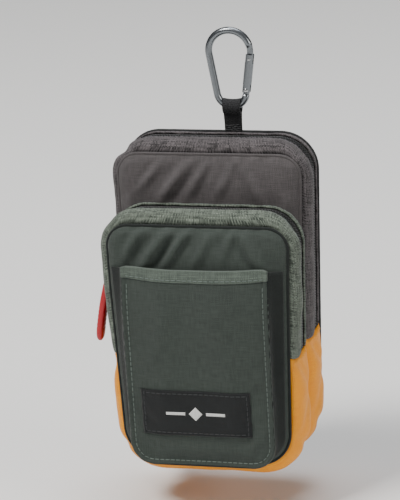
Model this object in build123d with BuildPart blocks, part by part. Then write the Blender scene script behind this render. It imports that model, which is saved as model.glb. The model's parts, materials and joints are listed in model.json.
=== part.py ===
"""Golf accessory pouch with a carabiner: two zipped compartments, a front slip pocket and a hanging loop.

Frame: millimetres, +Z up, the front of the pouch faces -Y, and the origin is the point inside the top bow
of the carabiner where it hangs. Depths ("d") are measured forwards from the plane of the hanging loop.
"""
from build123d import *

import math
import os

# --- pouch outline, seen from the front -------------------------------------------------------------
MIDDLE_X = -8.0  # of the pouch: the hanging loop is sewn to the right of its middle
MAIN_TOP = -57.0  # top of the rear (main) compartment
FRONT_TOP = -89.0  # top of the front compartment
BOTTOM = -235.0
TOP_WIDTH = 112.0
BOTTOM_WIDTH = 100.0
TOP_RADIUS = 20.0
BOTTOM_RADIUS = 22.0
BASE_HEIGHT = 65.0  # of the yellow base walls
ZIP_END = BOTTOM + BASE_HEIGHT  # the zips and the strips beside them stop here

# --- thicknesses ------------------------------------------------------------------------------------
WALL = 2.0  # side walls, all round
SHELL = 1.0  # outer fabric of a panel
FOAM = 1.5
LINING = 0.8
FOAM_INSET = 1.0
LINING_INSET = 3.2
PIPING_PROUD = 1.0
SEAM_GAP = 0.3  # between pieces that part when a cover opens

# --- depths -----------------------------------------------------------------------------------------
BACK_FACE = -3.7
BACK_INNER = BACK_FACE + SHELL + FOAM
PIPING_DEPTH = 1.8
COVER_BACK = 32.5  # rear face of the main compartment's front panel
COVER_FRONT = COVER_BACK + FOAM + SHELL
FRONT_DEPTH = 30.0  # of the front compartment
FRONT_PANEL_BACK = COVER_FRONT + FRONT_DEPTH
FRONT_PANEL_FACE = FRONT_PANEL_BACK + FOAM + SHELL
POCKET_DEPTH = 7.0
POCKET_BACK = FRONT_PANEL_FACE + POCKET_DEPTH
POCKET_SHEET = 1.6
POCKET_FACE = POCKET_BACK + POCKET_SHEET
MAIN_ZIP = 10.0  # depth of each zip's centre line
FRONT_ZIP = COVER_FRONT + 9.0

# --- zips -------------------------------------------------------------------------------------------
COIL_GAP = 0.6  # centre line to a coil
COIL_WIDTH = 1.5
TAPE_WIDTH = 2.9
COIL_THICK = 2.2
TAPE_THICK = 0.8
COIL_OUT = COIL_GAP + COIL_WIDTH
TAPE_OUT = COIL_OUT + TAPE_WIDTH

# --- slip pocket and label --------------------------------------------------------------------------
POCKET_WIDTH = 84.0
POCKET_BOTTOM = BOTTOM + 4.0
POCKET_TOP = -114.0
POCKET_RADIUS = 14.0
POCKET_MARGIN = 4.0  # of front panel left showing round the foot of the pocket's splayed gusset
POCKET_WALL = 1.6
HEM_HEIGHT, HEM_PROUD = 7.0, 0.6
LABEL_WIDTH, LABEL_HEIGHT, LABEL_THICK = 63.0, 27.0, 0.8
LABEL_X, LABEL_Z = MIDDLE_X - 2.0, -198.0

# --- carabiner --------------------------------------------------------------------------------------
ROD = 4.0
BOW_TOP_RADIUS = 12.0  # of the rod's centre line
BOW_BOTTOM_RADIUS = 8.5
LOOP_AXIS_Z = -42.0  # centre of the bottom bow's rod, where the webbing hangs
TAPE_LOOP_WIDTH = 10.0
TAPE_LOOP_THICK = 1.1
EYE_RADIUS = 4.6  # inside the folded webbing, round the rod
TAIL = 13.0  # of webbing sewn inside the pouch
TAIL_END = MAIN_TOP - TAIL
TAIL_ROOM = 1.0

os.makedirs("parts", exist_ok=True)


def save(builder, name):
    """Labels a finished piece and writes it as its own STEP file."""
    builder.part.label = name
    export_step(builder.part, f"parts/{name}.step")


def front_plane(depth):
    """The plane parallel to the pouch's face at a depth; extruding goes forwards, towards -Y."""
    return Plane.XZ.offset(depth)


def half_width(z, inset=0.0):
    """Half the width of the tapered outline at a height."""
    share = (z - BOTTOM) / (MAIN_TOP - BOTTOM)
    return (BOTTOM_WIDTH + share * (TOP_WIDTH - BOTTOM_WIDTH)) / 2 - inset


def outline(top, inset=0.0):
    """A face: the pouch's rounded, tapered outline from BOTTOM up to top, taken in by inset."""
    low, high = BOTTOM + inset, top - inset
    corners = [
        (MIDDLE_X - half_width(low, inset), low),
        (MIDDLE_X + half_width(low, inset), low),
        (MIDDLE_X + half_width(high, inset), high),
        (MIDDLE_X - half_width(high, inset), high),
    ]
    with BuildSketch(mode=Mode.PRIVATE) as shape:
        with BuildLine():
            Polyline(*corners, close=True)
        make_face()
        fillet(shape.vertices().group_by(Axis.Y)[0], BOTTOM_RADIUS - inset)
        fillet(shape.vertices().group_by(Axis.Y)[-1], TOP_RADIUS - inset)
    return shape.sketch


def cut_level(z, keep_top):
    """Cuts the piece in hand at a height, and keeps the part above or below it."""
    split(bisect_by=Plane.XY.offset(z), keep=Keep.TOP if keep_top else Keep.BOTTOM)


def panel(name, top, depth, thick, inset=0.0):
    """A flat layer of the pouch: outer fabric, foam or lining."""
    with BuildPart() as piece:
        with BuildSketch(front_plane(depth)):
            add(outline(top, inset))
        extrude(amount=thick)
    save(piece, name)


def ring(top, depth, length, outer, inner):
    """A builder holding the wall between two insets of the outline."""
    with BuildPart() as piece:
        with BuildSketch(front_plane(depth)):
            add(outline(top, outer))
            add(outline(top, inner), mode=Mode.SUBTRACT)
        extrude(amount=length)
    return piece


def piping(name, top, depth, length):
    """The bound edge round a seam, standing a little proud of the wall."""
    save(ring(top, depth, length, -PIPING_PROUD, WALL), name)


def wall_arch(name, top, start, end, outer=0.0, inner=WALL, lift=0.0):
    """A strip of the side wall above the zip's ends: left side, over the top and down the right side."""
    with ring(top, start, end - start, outer, inner) as piece:
        cut_level(ZIP_END + lift, keep_top=True)
    save(piece, name)


def wall_base(name, top, start, end):
    """The U-shaped base wall: left side, bottom and right side below the zip's ends."""
    with ring(top, start, end - start, 0.0, WALL) as piece:
        cut_level(ZIP_END, keep_top=False)
    save(piece, name)


def zip_side(prefix, side, top, centre, lift=0.0):
    """One side of a zip: its tape and its coil, at signed depths from the zip's centre line."""
    way = 1 if side == "front" else -1
    near, far = sorted((centre + way * COIL_OUT, centre + way * TAPE_OUT))
    mid = WALL / 2
    wall_arch(f"{prefix}_zip_tape_{side}", top, near, far, mid - TAPE_THICK / 2, mid + TAPE_THICK / 2, lift)
    near, far = sorted((centre + way * COIL_GAP, centre + way * COIL_OUT))
    wall_arch(f"{prefix}_zip_coil_{side}", top, near, far, mid - COIL_THICK / 2, mid + COIL_THICK / 2, lift)


# --- rear compartment: back ------------------------------------------------------------------------
panel("back_panel", MAIN_TOP, BACK_FACE, SHELL)
panel("back_foam", MAIN_TOP, BACK_FACE + SHELL, FOAM, inset=FOAM_INSET)
with BuildPart() as back_lining:
    with BuildSketch(front_plane(BACK_INNER)) as lining_face:
        add(outline(MAIN_TOP, LINING_INSET))
        with Locations((0, MAIN_TOP)):  # round the webbing's ends
            Rectangle(TAPE_LOOP_WIDTH + 2 * TAIL_ROOM, 2 * (TAIL + TAIL_ROOM), mode=Mode.SUBTRACT)
    extrude(amount=LINING)
save(back_lining, "back_lining")


def tail_slot():
    """Cuts the slot in the top seam that the webbing's ends are sewn through."""
    with Locations((0, 0, MAIN_TOP)):
        Box(TAPE_LOOP_WIDTH + 0.2, 2 * TAPE_LOOP_THICK + 0.1, 4 * WALL, mode=Mode.SUBTRACT)


with ring(MAIN_TOP, BACK_INNER, PIPING_DEPTH, -PIPING_PROUD, WALL) as back_piping:
    tail_slot()
save(back_piping, "back_piping")

MAIN_STRIP_START = BACK_INNER + PIPING_DEPTH
with ring(MAIN_TOP, MAIN_STRIP_START, MAIN_ZIP - TAPE_OUT - MAIN_STRIP_START, 0.0, WALL) as back_strip:
    cut_level(ZIP_END, keep_top=True)
    tail_slot()
save(back_strip, "main_wall_back")

zip_side("main", "back", MAIN_TOP, MAIN_ZIP)
COVER_PIPING = COVER_BACK - PIPING_DEPTH + SEAM_GAP  # thinned a little, to part from the base wall
wall_base("main_base_wall", MAIN_TOP, MAIN_STRIP_START, COVER_BACK - PIPING_DEPTH)

# --- rear compartment: cover, which carries the whole front compartment ----------------------------
zip_side("main", "front", MAIN_TOP, MAIN_ZIP, lift=SEAM_GAP)
wall_arch("main_wall_front", MAIN_TOP, MAIN_ZIP + TAPE_OUT, COVER_PIPING, lift=SEAM_GAP)
piping("cover_piping", MAIN_TOP, COVER_PIPING, COVER_BACK - COVER_PIPING)
panel("cover_lining", MAIN_TOP, COVER_BACK - LINING, LINING, inset=LINING_INSET)
panel("cover_foam", MAIN_TOP, COVER_BACK, FOAM, inset=FOAM_INSET)
panel("cover_panel", MAIN_TOP, COVER_BACK + FOAM, SHELL)

wall_arch("front_wall_back", FRONT_TOP, COVER_FRONT, FRONT_ZIP - TAPE_OUT)
zip_side("front", "back", FRONT_TOP, FRONT_ZIP)
wall_base("front_base_wall", FRONT_TOP, COVER_FRONT, FRONT_PANEL_BACK - PIPING_DEPTH)
panel("front_rear_lining", FRONT_TOP, COVER_FRONT, LINING, inset=LINING_INSET)

# --- front compartment: its own cover, with the slip pocket ----------------------------------------
zip_side("front", "front", FRONT_TOP, FRONT_ZIP, lift=SEAM_GAP)
FRONT_PIPING = FRONT_PANEL_BACK - PIPING_DEPTH + SEAM_GAP
wall_arch("front_wall_front", FRONT_TOP, FRONT_ZIP + TAPE_OUT, FRONT_PIPING, lift=SEAM_GAP)
piping("front_piping", FRONT_TOP, FRONT_PIPING, FRONT_PANEL_BACK - FRONT_PIPING)
panel("front_lining", FRONT_TOP, FRONT_PANEL_BACK - LINING, LINING, inset=LINING_INSET)
panel("front_foam", FRONT_TOP, FRONT_PANEL_BACK, FOAM, inset=FOAM_INSET)
panel("front_panel", FRONT_TOP, FRONT_PANEL_BACK + FOAM, SHELL)


def pocket_outline(inset=0.0):
    """The slip pocket's face: square at the mouth, rounded at the bottom."""
    height = POCKET_TOP - POCKET_BOTTOM
    with BuildSketch(mode=Mode.PRIVATE) as shape:
        with Locations((MIDDLE_X, (POCKET_TOP + POCKET_BOTTOM) / 2)):
            Rectangle(POCKET_WIDTH - 2 * inset, height - 2 * inset)
        fillet(shape.vertices().group_by(Axis.Y)[0], POCKET_RADIUS - inset)
    return shape.sketch


def pocket_foot(inset=0.0):
    """The outline along which the pocket's gusset is sewn to the front panel."""
    with BuildSketch(mode=Mode.PRIVATE) as shape:
        add(outline(FRONT_TOP, POCKET_MARGIN + inset))
        with Locations((MIDDLE_X, FRONT_TOP + inset)):
            Rectangle(2 * TOP_WIDTH, 2 * (FRONT_TOP - POCKET_TOP + 2 * inset), mode=Mode.SUBTRACT)
    return shape.sketch


with BuildPart() as pocket_gusset:
    for inset, how in ((0.0, Mode.ADD), (POCKET_WALL, Mode.SUBTRACT)):
        with BuildSketch(front_plane(FRONT_PANEL_FACE)):
            add(pocket_foot(inset))
        with BuildSketch(front_plane(POCKET_BACK)):
            add(pocket_outline(inset))
        loft(mode=how)
    cut_level(POCKET_TOP - 2 * POCKET_WALL, keep_top=False)
save(pocket_gusset, "pocket_gusset")

with BuildPart() as pocket_front:
    with BuildSketch(front_plane(POCKET_BACK)):
        add(pocket_outline())
        with Locations((MIDDLE_X, POCKET_TOP)):
            Rectangle(POCKET_WIDTH, 2 * HEM_HEIGHT, mode=Mode.SUBTRACT)
    extrude(amount=POCKET_SHEET)
save(pocket_front, "pocket_front")

with BuildPart() as pocket_hem:
    with BuildSketch(front_plane(POCKET_BACK)):
        with Locations((MIDDLE_X, POCKET_TOP - HEM_HEIGHT / 2)):
            Rectangle(POCKET_WIDTH, HEM_HEIGHT)
    extrude(amount=POCKET_SHEET + HEM_PROUD)
    fillet(pocket_hem.edges().filter_by(Axis.X).group_by(Axis.Z)[-1], 0.8)
save(pocket_hem, "pocket_hem")

with BuildPart() as label:
    with BuildSketch(front_plane(POCKET_FACE)):
        with Locations((LABEL_X, LABEL_Z)):
            RectangleRounded(LABEL_WIDTH, LABEL_HEIGHT, 1.0)
    extrude(amount=LABEL_THICK)
save(label, "label_patch")

# --- hanging loop: one tape folded round the carabiner, its two ends sewn inside the top seam ------
with BuildPart() as hanging_loop:
    with BuildSketch(Plane.YZ.offset(-TAPE_LOOP_WIDTH / 2)):
        with Locations((0, LOOP_AXIS_Z)):
            Circle(EYE_RADIUS + TAPE_LOOP_THICK)
        tail_height = LOOP_AXIS_Z - TAIL_END
        with Locations((0, LOOP_AXIS_Z - tail_height / 2)):
            Rectangle(2 * TAPE_LOOP_THICK, tail_height)
        with Locations((0, LOOP_AXIS_Z)):
            Circle(EYE_RADIUS, mode=Mode.SUBTRACT)
    extrude(amount=TAPE_LOOP_WIDTH)
save(hanging_loop, "hanging_loop")

# --- carabiner ---------------------------------------------------------------------------------------
TOP_CENTRE = (0.0, ROD / 2 - BOW_TOP_RADIUS)
LOW_CENTRE = (0.0, LOOP_AXIS_Z + BOW_BOTTOM_RADIUS)
LEG_LEAN = math.asin((BOW_TOP_RADIUS - BOW_BOTTOM_RADIUS) / (TOP_CENTRE[1] - LOW_CENTRE[1]))


def bow_point(centre, radius, degrees):
    """A point on a bow's centre line, as X and Z."""
    a = math.radians(degrees)
    return (centre[0] + radius * math.cos(a), centre[1] + radius * math.sin(a))


LEG_ANGLE = -math.degrees(LEG_LEAN)  # where a leg leaves each bow, on the right
TOP_RIGHT = bow_point(TOP_CENTRE, BOW_TOP_RADIUS, LEG_ANGLE)
LOW_RIGHT = bow_point(LOW_CENTRE, BOW_BOTTOM_RADIUS, LEG_ANGLE)
TOP_LEFT, LOW_LEFT = (-TOP_RIGHT[0], TOP_RIGHT[1]), (-LOW_RIGHT[0], LOW_RIGHT[1])
LEG = Vector(TOP_RIGHT[0] - LOW_RIGHT[0], 0, TOP_RIGHT[1] - LOW_RIGHT[1])
LEG_LENGTH = LEG.length
UP_LEG = LEG.normalized()
BOW_START = 5.0  # degrees round the top bow at which the round rod begins, above the gate
LUG = 2.0  # thickness of the flattened rod ends
LUG_LENGTH = 4.6
LUG_ROOT = 1.0  # how far a flattened end runs back into the round rod
GATE_RADIUS = 2.5
FORK_SLOT = 2.5
PIN_RADIUS = 0.8
LATCH_RADIUS = 0.6
HINGE_AT = 2.5  # up the leg, from the bottom bow
LATCH_AT = LEG_LENGTH - 2.5
NOSE_START, NOSE_END = LEG_LENGTH - 4.0, LEG_LENGTH + 5.5
NOTCH_EDGE = LATCH_RADIUS + 0.15


def leg_plane(along):
    """A plane square across the gate's leg; its X axis points out of the carabiner."""
    at = Vector(LOW_RIGHT[0], 0, LOW_RIGHT[1]) + UP_LEG * along
    return Plane(origin=at, x_dir=(UP_LEG.Z, 0, -UP_LEG.X), z_dir=UP_LEG)


with BuildPart() as carabiner_body:
    with BuildLine(Plane.XZ):
        top_start = bow_point(TOP_CENTRE, BOW_TOP_RADIUS, BOW_START)
        top_bow = ThreePointArc(top_start, bow_point(TOP_CENTRE, BOW_TOP_RADIUS, 90), TOP_LEFT)
        Line(TOP_LEFT, LOW_LEFT)
        ThreePointArc(LOW_LEFT, bow_point(LOW_CENTRE, BOW_BOTTOM_RADIUS, -90), LOW_RIGHT)
    with BuildSketch(Plane(origin=top_bow @ 0, z_dir=top_bow % 0)):
        Circle(ROD / 2)
    sweep()
    with Locations(leg_plane((LUG_LENGTH - LUG_ROOT) / 2)):  # hinge lug
        Box(ROD - 0.4, LUG, LUG_LENGTH + LUG_ROOT)
    with Locations(leg_plane((NOSE_START + NOSE_END) / 2)):  # nose
        Box(ROD - 0.6, LUG, NOSE_END - NOSE_START)
    with Locations(leg_plane(LATCH_AT)):  # notch that holds the latch pin, open towards the inside
        with Locations((NOTCH_EDGE - ROD / 2, 0, 0)):
            Box(ROD, ROD, 2 * LATCH_RADIUS + 0.5, mode=Mode.SUBTRACT)
    hinge_axis = leg_plane(HINGE_AT).location * Rotation(90, 0, 0)
    with Locations(hinge_axis):
        Cylinder(PIN_RADIUS, 2 * ROD, mode=Mode.SUBTRACT)
save(carabiner_body, "carabiner_body")

with BuildPart() as hinge_pin:
    with Locations(hinge_axis):
        Cylinder(PIN_RADIUS, 2 * GATE_RADIUS - 1.0)
save(hinge_pin, "gate_hinge_pin")

GATE_START, GATE_END = 1.2, LEG_LENGTH + 0.2
SLOT_LOW = LUG_LENGTH + 1.4
SLOT_TOP = LATCH_AT - 2.4
with BuildPart() as gate:
    with BuildSketch(leg_plane(GATE_START)):
        Circle(GATE_RADIUS)
    extrude(amount=GATE_END - GATE_START)
    with Locations(leg_plane((GATE_START + SLOT_LOW) / 2)):
        Box(4 * GATE_RADIUS, FORK_SLOT, SLOT_LOW - GATE_START, mode=Mode.SUBTRACT)
    with Locations(leg_plane((SLOT_TOP + GATE_END) / 2)):
        Box(4 * GATE_RADIUS, FORK_SLOT, GATE_END - SLOT_TOP, mode=Mode.SUBTRACT)
    with BuildSketch(leg_plane(SLOT_LOW - 0.1)):  # spring chamber
        Circle(1.3)
    extrude(amount=11, mode=Mode.SUBTRACT)
    with Locations(hinge_axis):
        Cylinder(PIN_RADIUS + 0.05, 4 * GATE_RADIUS, mode=Mode.SUBTRACT)
    with Locations(leg_plane(LATCH_AT).location * Rotation(90, 0, 0)):
        Cylinder(LATCH_RADIUS, 4 * GATE_RADIUS, mode=Mode.SUBTRACT)
save(gate, "carabiner_gate")

with BuildPart() as latch_pin:
    with Locations(leg_plane(LATCH_AT).location * Rotation(90, 0, 0)):
        Cylinder(LATCH_RADIUS, 2 * GATE_RADIUS - 0.5)
save(latch_pin, "gate_latch_pin")

SPRING_WIRE, SPRING_RADIUS, SPRING_PITCH, SPRING_TURNS = 0.3, 0.85, 1.0, 7
PLUNGER_START, PLUNGER_LENGTH = LUG_LENGTH + 0.8, 2.0
with BuildPart() as plunger:
    with BuildSketch(leg_plane(PLUNGER_START)):
        Circle(1.2)
    extrude(amount=PLUNGER_LENGTH)
save(plunger, "gate_plunger")

SPRING_FOOT = leg_plane(PLUNGER_START + PLUNGER_LENGTH + SPRING_WIRE)
with BuildPart() as gate_spring:
    with BuildLine() as coil_line:
        Helix(SPRING_PITCH, SPRING_TURNS * SPRING_PITCH, SPRING_RADIUS, SPRING_FOOT.origin, UP_LEG)
    with BuildSketch(Plane(origin=coil_line.line @ 0, z_dir=coil_line.line % 0)):
        Circle(SPRING_WIRE / 2)
    sweep(path=coil_line.line, is_frenet=True)
save(gate_spring, "gate_spring")

# --- zip sliders and pulls, on the left walls --------------------------------------------------------
SLIDER_LONG, SLIDER_WIDE, BLADE = 10.0, 8.0, 1.2
BLADE_CLEAR = 0.5  # from the wall's outer face to the slider's outer blade
POST = 0.7
BRIDGE_HIGH, BRIDGE_THICK, BRIDGE_LONG = 3.0, 1.6, 7.0
WINDOW_HIGH, WINDOW_LONG = 2.0, 4.4
LINK_WIRE, LINK_WIDE, LINK_LONG, LINK_CLEAR = 1.3, 5.0, 9.0, 0.05
LINK_OUT = LINK_WIRE + 2 * LINK_CLEAR
PULL_WIDE, PULL_THICK, PULL_LONG = 7.4, 4.6, 40.0
PULL_OVERLAP = 2.2  # of the moulding over the link
PULL_SPLAY = 12.0  # degrees by which a stiff pull stands off from hanging straight down
WALL_LEAN = math.atan((TOP_WIDTH - BOTTOM_WIDTH) / 2 / (MAIN_TOP - BOTTOM))


def wall_plane(centre, z):
    """On the left wall's outer face: X runs up the zip, Y across it towards the front, Z outwards."""
    up = Vector(-math.sin(WALL_LEAN), 0, math.cos(WALL_LEAN))
    out = Vector(-math.cos(WALL_LEAN), 0, -math.sin(WALL_LEAN))
    return Plane(origin=(MIDDLE_X - half_width(z), -centre, z), x_dir=up, z_dir=out)


def slider(prefix, centre, z):
    """Slider, wire link and moulded pull. The link hangs from the bridge's window."""
    at = wall_plane(centre, z)
    low_blade = -(WALL / 2 + COIL_THICK / 2 + 0.4) - BLADE
    with BuildPart() as body:
        with BuildSketch(at.offset(BLADE_CLEAR)):
            RectangleRounded(SLIDER_LONG, SLIDER_WIDE, 2.5)
        extrude(amount=BLADE)
        with BuildSketch(at.offset(low_blade)):
            RectangleRounded(SLIDER_LONG, SLIDER_WIDE, 2.5)
        extrude(amount=BLADE)
        with BuildSketch(at.offset(low_blade + BLADE)):
            with Locations((SLIDER_LONG / 2 - 2.5, 0)):
                Rectangle(3.0, POST)
        extrude(amount=BLADE_CLEAR - low_blade - BLADE)
        with BuildSketch(at.offset(BLADE_CLEAR + BLADE)):
            Rectangle(BRIDGE_LONG, BRIDGE_THICK)
        extrude(amount=BRIDGE_HIGH)
        with Locations(at.offset(BLADE_CLEAR + BLADE + WINDOW_HIGH / 2)):
            Box(WINDOW_LONG, 2 * BRIDGE_THICK, WINDOW_HIGH, mode=Mode.SUBTRACT)
    save(body, f"{prefix}_zip_slider")

    hinge_height = BLADE_CLEAR + BLADE + WINDOW_HIGH / 2
    hinge = at.offset(hinge_height).origin
    splay = math.radians(PULL_SPLAY)
    up, out = (math.sin(splay), 0, math.cos(splay)), (-math.cos(splay), 0, math.sin(splay))
    hang = Plane(origin=hinge, x_dir=up, z_dir=out)
    with BuildPart() as link:
        with BuildSketch(hang.offset(-LINK_WIRE / 2)):
            with Locations((-LINK_LONG / 2, 0)):
                RectangleRounded(LINK_LONG + LINK_WIRE, LINK_WIDE + LINK_WIRE, 1.0)
                Rectangle(LINK_LONG - LINK_WIRE, LINK_WIDE - LINK_WIRE, mode=Mode.SUBTRACT)
        extrude(amount=LINK_WIRE)
    save(link, f"{prefix}_zip_link")

    with BuildPart() as pull:
        with BuildSketch(hang.offset(-PULL_THICK / 2)):
            with Locations((-LINK_LONG + PULL_OVERLAP - PULL_LONG / 2, 0)):
                SlotOverall(PULL_LONG, PULL_WIDE)
        extrude(amount=PULL_THICK)
        for side in pull.faces().filter_by(Axis(hinge, out)):
            fillet(side.edges(), 1.8)
        with BuildSketch(hang.offset(-LINK_WIRE / 2 - LINK_CLEAR)):  # the wire link is moulded in
            with Locations((-LINK_LONG / 2, 0)):
                RectangleRounded(LINK_LONG + LINK_OUT, LINK_WIDE + LINK_OUT, 1.0)
                Rectangle(LINK_LONG - LINK_OUT, LINK_WIDE - LINK_OUT, mode=Mode.SUBTRACT)
        extrude(amount=LINK_WIRE + 2 * LINK_CLEAR, mode=Mode.SUBTRACT)
    save(pull, f"{prefix}_zip_pull")


MAIN_SLIDER_Z = -121.0
FRONT_SLIDER_Z = -123.0
slider("main", MAIN_ZIP, MAIN_SLIDER_Z)
slider("front", FRONT_ZIP, FRONT_SLIDER_Z)
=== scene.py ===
"""Golf accessory pouch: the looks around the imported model.

Metres, +Z up. The front of the pouch faces -Y, and the origin is the hang point in the carabiner's top bow.
"Depth" is the distance forwards of the hanging loop, so a place at depth d lies at y = -d.
"""

import json
import math
import random

import bmesh
import bpy
from mathutils import Matrix, Vector, noise
from mathutils.bvhtree import BVHTree


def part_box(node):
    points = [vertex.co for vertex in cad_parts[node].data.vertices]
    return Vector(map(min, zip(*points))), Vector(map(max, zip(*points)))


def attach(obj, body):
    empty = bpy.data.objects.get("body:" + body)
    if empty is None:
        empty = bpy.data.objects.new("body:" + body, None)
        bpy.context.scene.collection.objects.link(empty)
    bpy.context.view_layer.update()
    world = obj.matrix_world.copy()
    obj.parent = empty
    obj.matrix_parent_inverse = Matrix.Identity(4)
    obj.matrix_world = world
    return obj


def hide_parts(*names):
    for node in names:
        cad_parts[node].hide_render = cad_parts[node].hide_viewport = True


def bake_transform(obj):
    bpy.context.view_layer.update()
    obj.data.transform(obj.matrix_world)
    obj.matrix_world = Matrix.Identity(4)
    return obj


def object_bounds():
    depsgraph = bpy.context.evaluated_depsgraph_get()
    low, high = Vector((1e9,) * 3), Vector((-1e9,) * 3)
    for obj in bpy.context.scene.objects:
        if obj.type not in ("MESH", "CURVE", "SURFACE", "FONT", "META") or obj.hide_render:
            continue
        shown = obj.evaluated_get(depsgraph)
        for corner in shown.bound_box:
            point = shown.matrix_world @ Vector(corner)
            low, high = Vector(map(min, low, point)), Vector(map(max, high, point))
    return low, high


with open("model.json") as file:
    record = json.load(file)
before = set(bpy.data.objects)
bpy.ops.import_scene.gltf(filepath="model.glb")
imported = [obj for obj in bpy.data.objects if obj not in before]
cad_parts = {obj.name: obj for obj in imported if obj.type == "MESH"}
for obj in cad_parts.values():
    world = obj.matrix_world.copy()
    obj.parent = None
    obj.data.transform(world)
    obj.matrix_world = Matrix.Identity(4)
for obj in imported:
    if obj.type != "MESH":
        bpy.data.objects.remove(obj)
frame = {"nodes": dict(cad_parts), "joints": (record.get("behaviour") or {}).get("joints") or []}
cad_low, cad_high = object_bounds()
random.seed(7)

MM = 0.001

# --- driving sizes, from the frame ------------------------------------------------------------------
COVER_LOW, COVER_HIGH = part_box("cover_panel")
MAIN_TOP, BOTTOM = COVER_HIGH.z, COVER_LOW.z
MIDDLE_X = (COVER_LOW.x + COVER_HIGH.x) / 2  # the loop at x = 0 is sewn to the right of the pouch's middle
FRONT_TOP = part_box("front_panel")[1].z
ZIP_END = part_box("main_base_wall")[1].z
TOP_HALF, BOTTOM_HALF = 56 * MM, 50 * MM  # half widths of the tapered outline at MAIN_TOP and BOTTOM
TOP_RADIUS, BOTTOM_RADIUS = 20 * MM, 22 * MM
LEAN = math.atan2(TOP_HALF - BOTTOM_HALF, MAIN_TOP - BOTTOM)


def depths(node):
    """Where a CAD node starts and ends in depth, back to front."""
    low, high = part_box(node)
    return -high.y, -low.y


def clean(bm, merge=0.00002):
    """Merges doubles and turns every face outwards."""
    bmesh.ops.remove_doubles(bm, verts=bm.verts, dist=merge)
    bmesh.ops.recalc_face_normals(bm, faces=bm.faces)


def piece(name, bm, body, material, replaces=()):
    """Makes the finished mesh an object that rides on a body."""
    mesh = bpy.data.meshes.new(name)
    bm.to_mesh(mesh)
    bm.free()
    mesh.materials.append(material)
    mesh.shade_smooth()
    made = bpy.data.objects.new(name, mesh)
    bpy.context.scene.collection.objects.link(made)
    if body:
        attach(made, body)
    if replaces:
        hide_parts(*replaces)
    return made


# --- outlines ---------------------------------------------------------------------------------------
class Outline:
    """A rounded, tapered outline in the XZ plane about MIDDLE_X, walked from its top middle; the right half
    is the positive one."""

    def __init__(self, top, bottom, top_half, bottom_half, top_radius, bottom_radius):
        self.top, self.bottom, self.bottom_half = top, bottom, bottom_half
        self.lean = math.atan2(top_half - bottom_half, top - bottom)
        self.high_r, self.low_r = top_radius, bottom_radius
        self.high_z, self.low_z = top - top_radius, bottom + bottom_radius
        self.high_x = self.half(self.high_z) - top_radius / math.cos(self.lean)
        self.low_x = self.half(self.low_z) - bottom_radius / math.cos(self.lean)
        across = Vector((math.cos(self.lean), 0, -math.sin(self.lean)))
        self.side_start = Vector((self.high_x, 0, self.high_z)) + top_radius * across
        self.side_end = Vector((self.low_x, 0, self.low_z)) + bottom_radius * across
        self.runs = (
            self.high_x,
            top_radius * (math.pi / 2 + self.lean),
            (self.side_start - self.side_end).length,
            bottom_radius * (math.pi / 2 - self.lean),
            self.low_x,
        )
        self.length = sum(self.runs)  # of one half

    def half(self, z):
        """Half the width at a height, as if the corners were sharp."""
        return self.bottom_half + (z - self.bottom) * math.tan(self.lean)

    def at(self, s, out=0.0):
        """The point, outward normal and forward direction at a distance along the outline."""
        side, left = (-1 if s < 0 else 1), min(abs(s), self.length)
        flat, top_arc, wall, low_arc, _ = self.runs
        if left <= flat:
            point, angle = Vector((left, 0, self.top)), math.pi / 2
        elif left <= flat + top_arc:
            angle = math.pi / 2 - (left - flat) / self.high_r
            centre, radius = Vector((self.high_x, 0, self.high_z)), self.high_r
            point = centre + radius * Vector((math.cos(angle), 0, math.sin(angle)))
        elif left <= flat + top_arc + wall:
            angle = -self.lean
            point = self.side_start.lerp(self.side_end, (left - flat - top_arc) / wall)
        elif left <= flat + top_arc + wall + low_arc:
            angle = -self.lean - (left - flat - top_arc - wall) / self.low_r
            centre, radius = Vector((self.low_x, 0, self.low_z)), self.low_r
            point = centre + radius * Vector((math.cos(angle), 0, math.sin(angle)))
        else:
            point, angle = Vector((self.length - left, 0, self.bottom)), -math.pi / 2
        normal = Vector((side * math.cos(angle), 0, math.sin(angle)))
        point.x = MIDDLE_X + side * point.x
        return point + normal * out, normal, Vector((normal.z, 0, -normal.x))

    def at_low(self, w, out=0.0):
        """As at(), but measured from the bottom middle, anticlockwise seen from the front."""
        point, normal, ahead = self.at(math.copysign(self.length - abs(w), w), out)
        return point, normal, -ahead

    def where(self, z):
        """How far along the outline its straight side is at a height."""
        flat, top_arc, wall = self.runs[:3]
        share = (self.side_start.z - z) / (self.side_start.z - self.side_end.z)
        return flat + top_arc + share * wall

    def matched(self, other, s):
        """The place along another outline that answers to the place s along this one."""
        side, left, reached = (-1 if s < 0 else 1), abs(s), 0.0
        for own, theirs in zip(self.runs, other.runs):
            if left <= own:
                return side * (reached + left * theirs / own)
            left -= own
            reached += theirs
        return side * other.length

    def corners(self):
        return (
            (self.high_x, self.high_z, self.high_r, 1),
            (self.low_x, self.low_z, self.low_r, -1),
        )

    def inside(self, x, z):
        """How far a point lies inside the outline."""
        x = abs(x - MIDDLE_X)
        for cx, cz, radius, up in self.corners():
            if x > cx and (z - cz) * up > 0:
                return radius - math.hypot(x - cx, z - cz)
        return min(self.top - z, z - self.bottom, (self.half(z) - x) * math.cos(self.lean))

    def rounded(self, x, z):
        """Moves a point of the sharp-cornered shape, x from its middle, to its place in the rounded one."""
        side, x = (-1 if x < 0 else 1), abs(x)
        for cx, cz, radius, up in self.corners():
            a, b = (x - cx) / (self.half(z) - cx), (z - cz) * up / radius
            if a > 0 and b > 0:
                x = cx + radius * a * math.sqrt(1 - b * b / 2)
                z = cz + radius * b * math.sqrt(1 - a * a / 2) * up
                break
        return MIDDLE_X + side * x, z


def half_at(z):
    """Half the pouch's width at a height."""
    return BOTTOM_HALF + (z - BOTTOM) * math.tan(LEAN)


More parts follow.
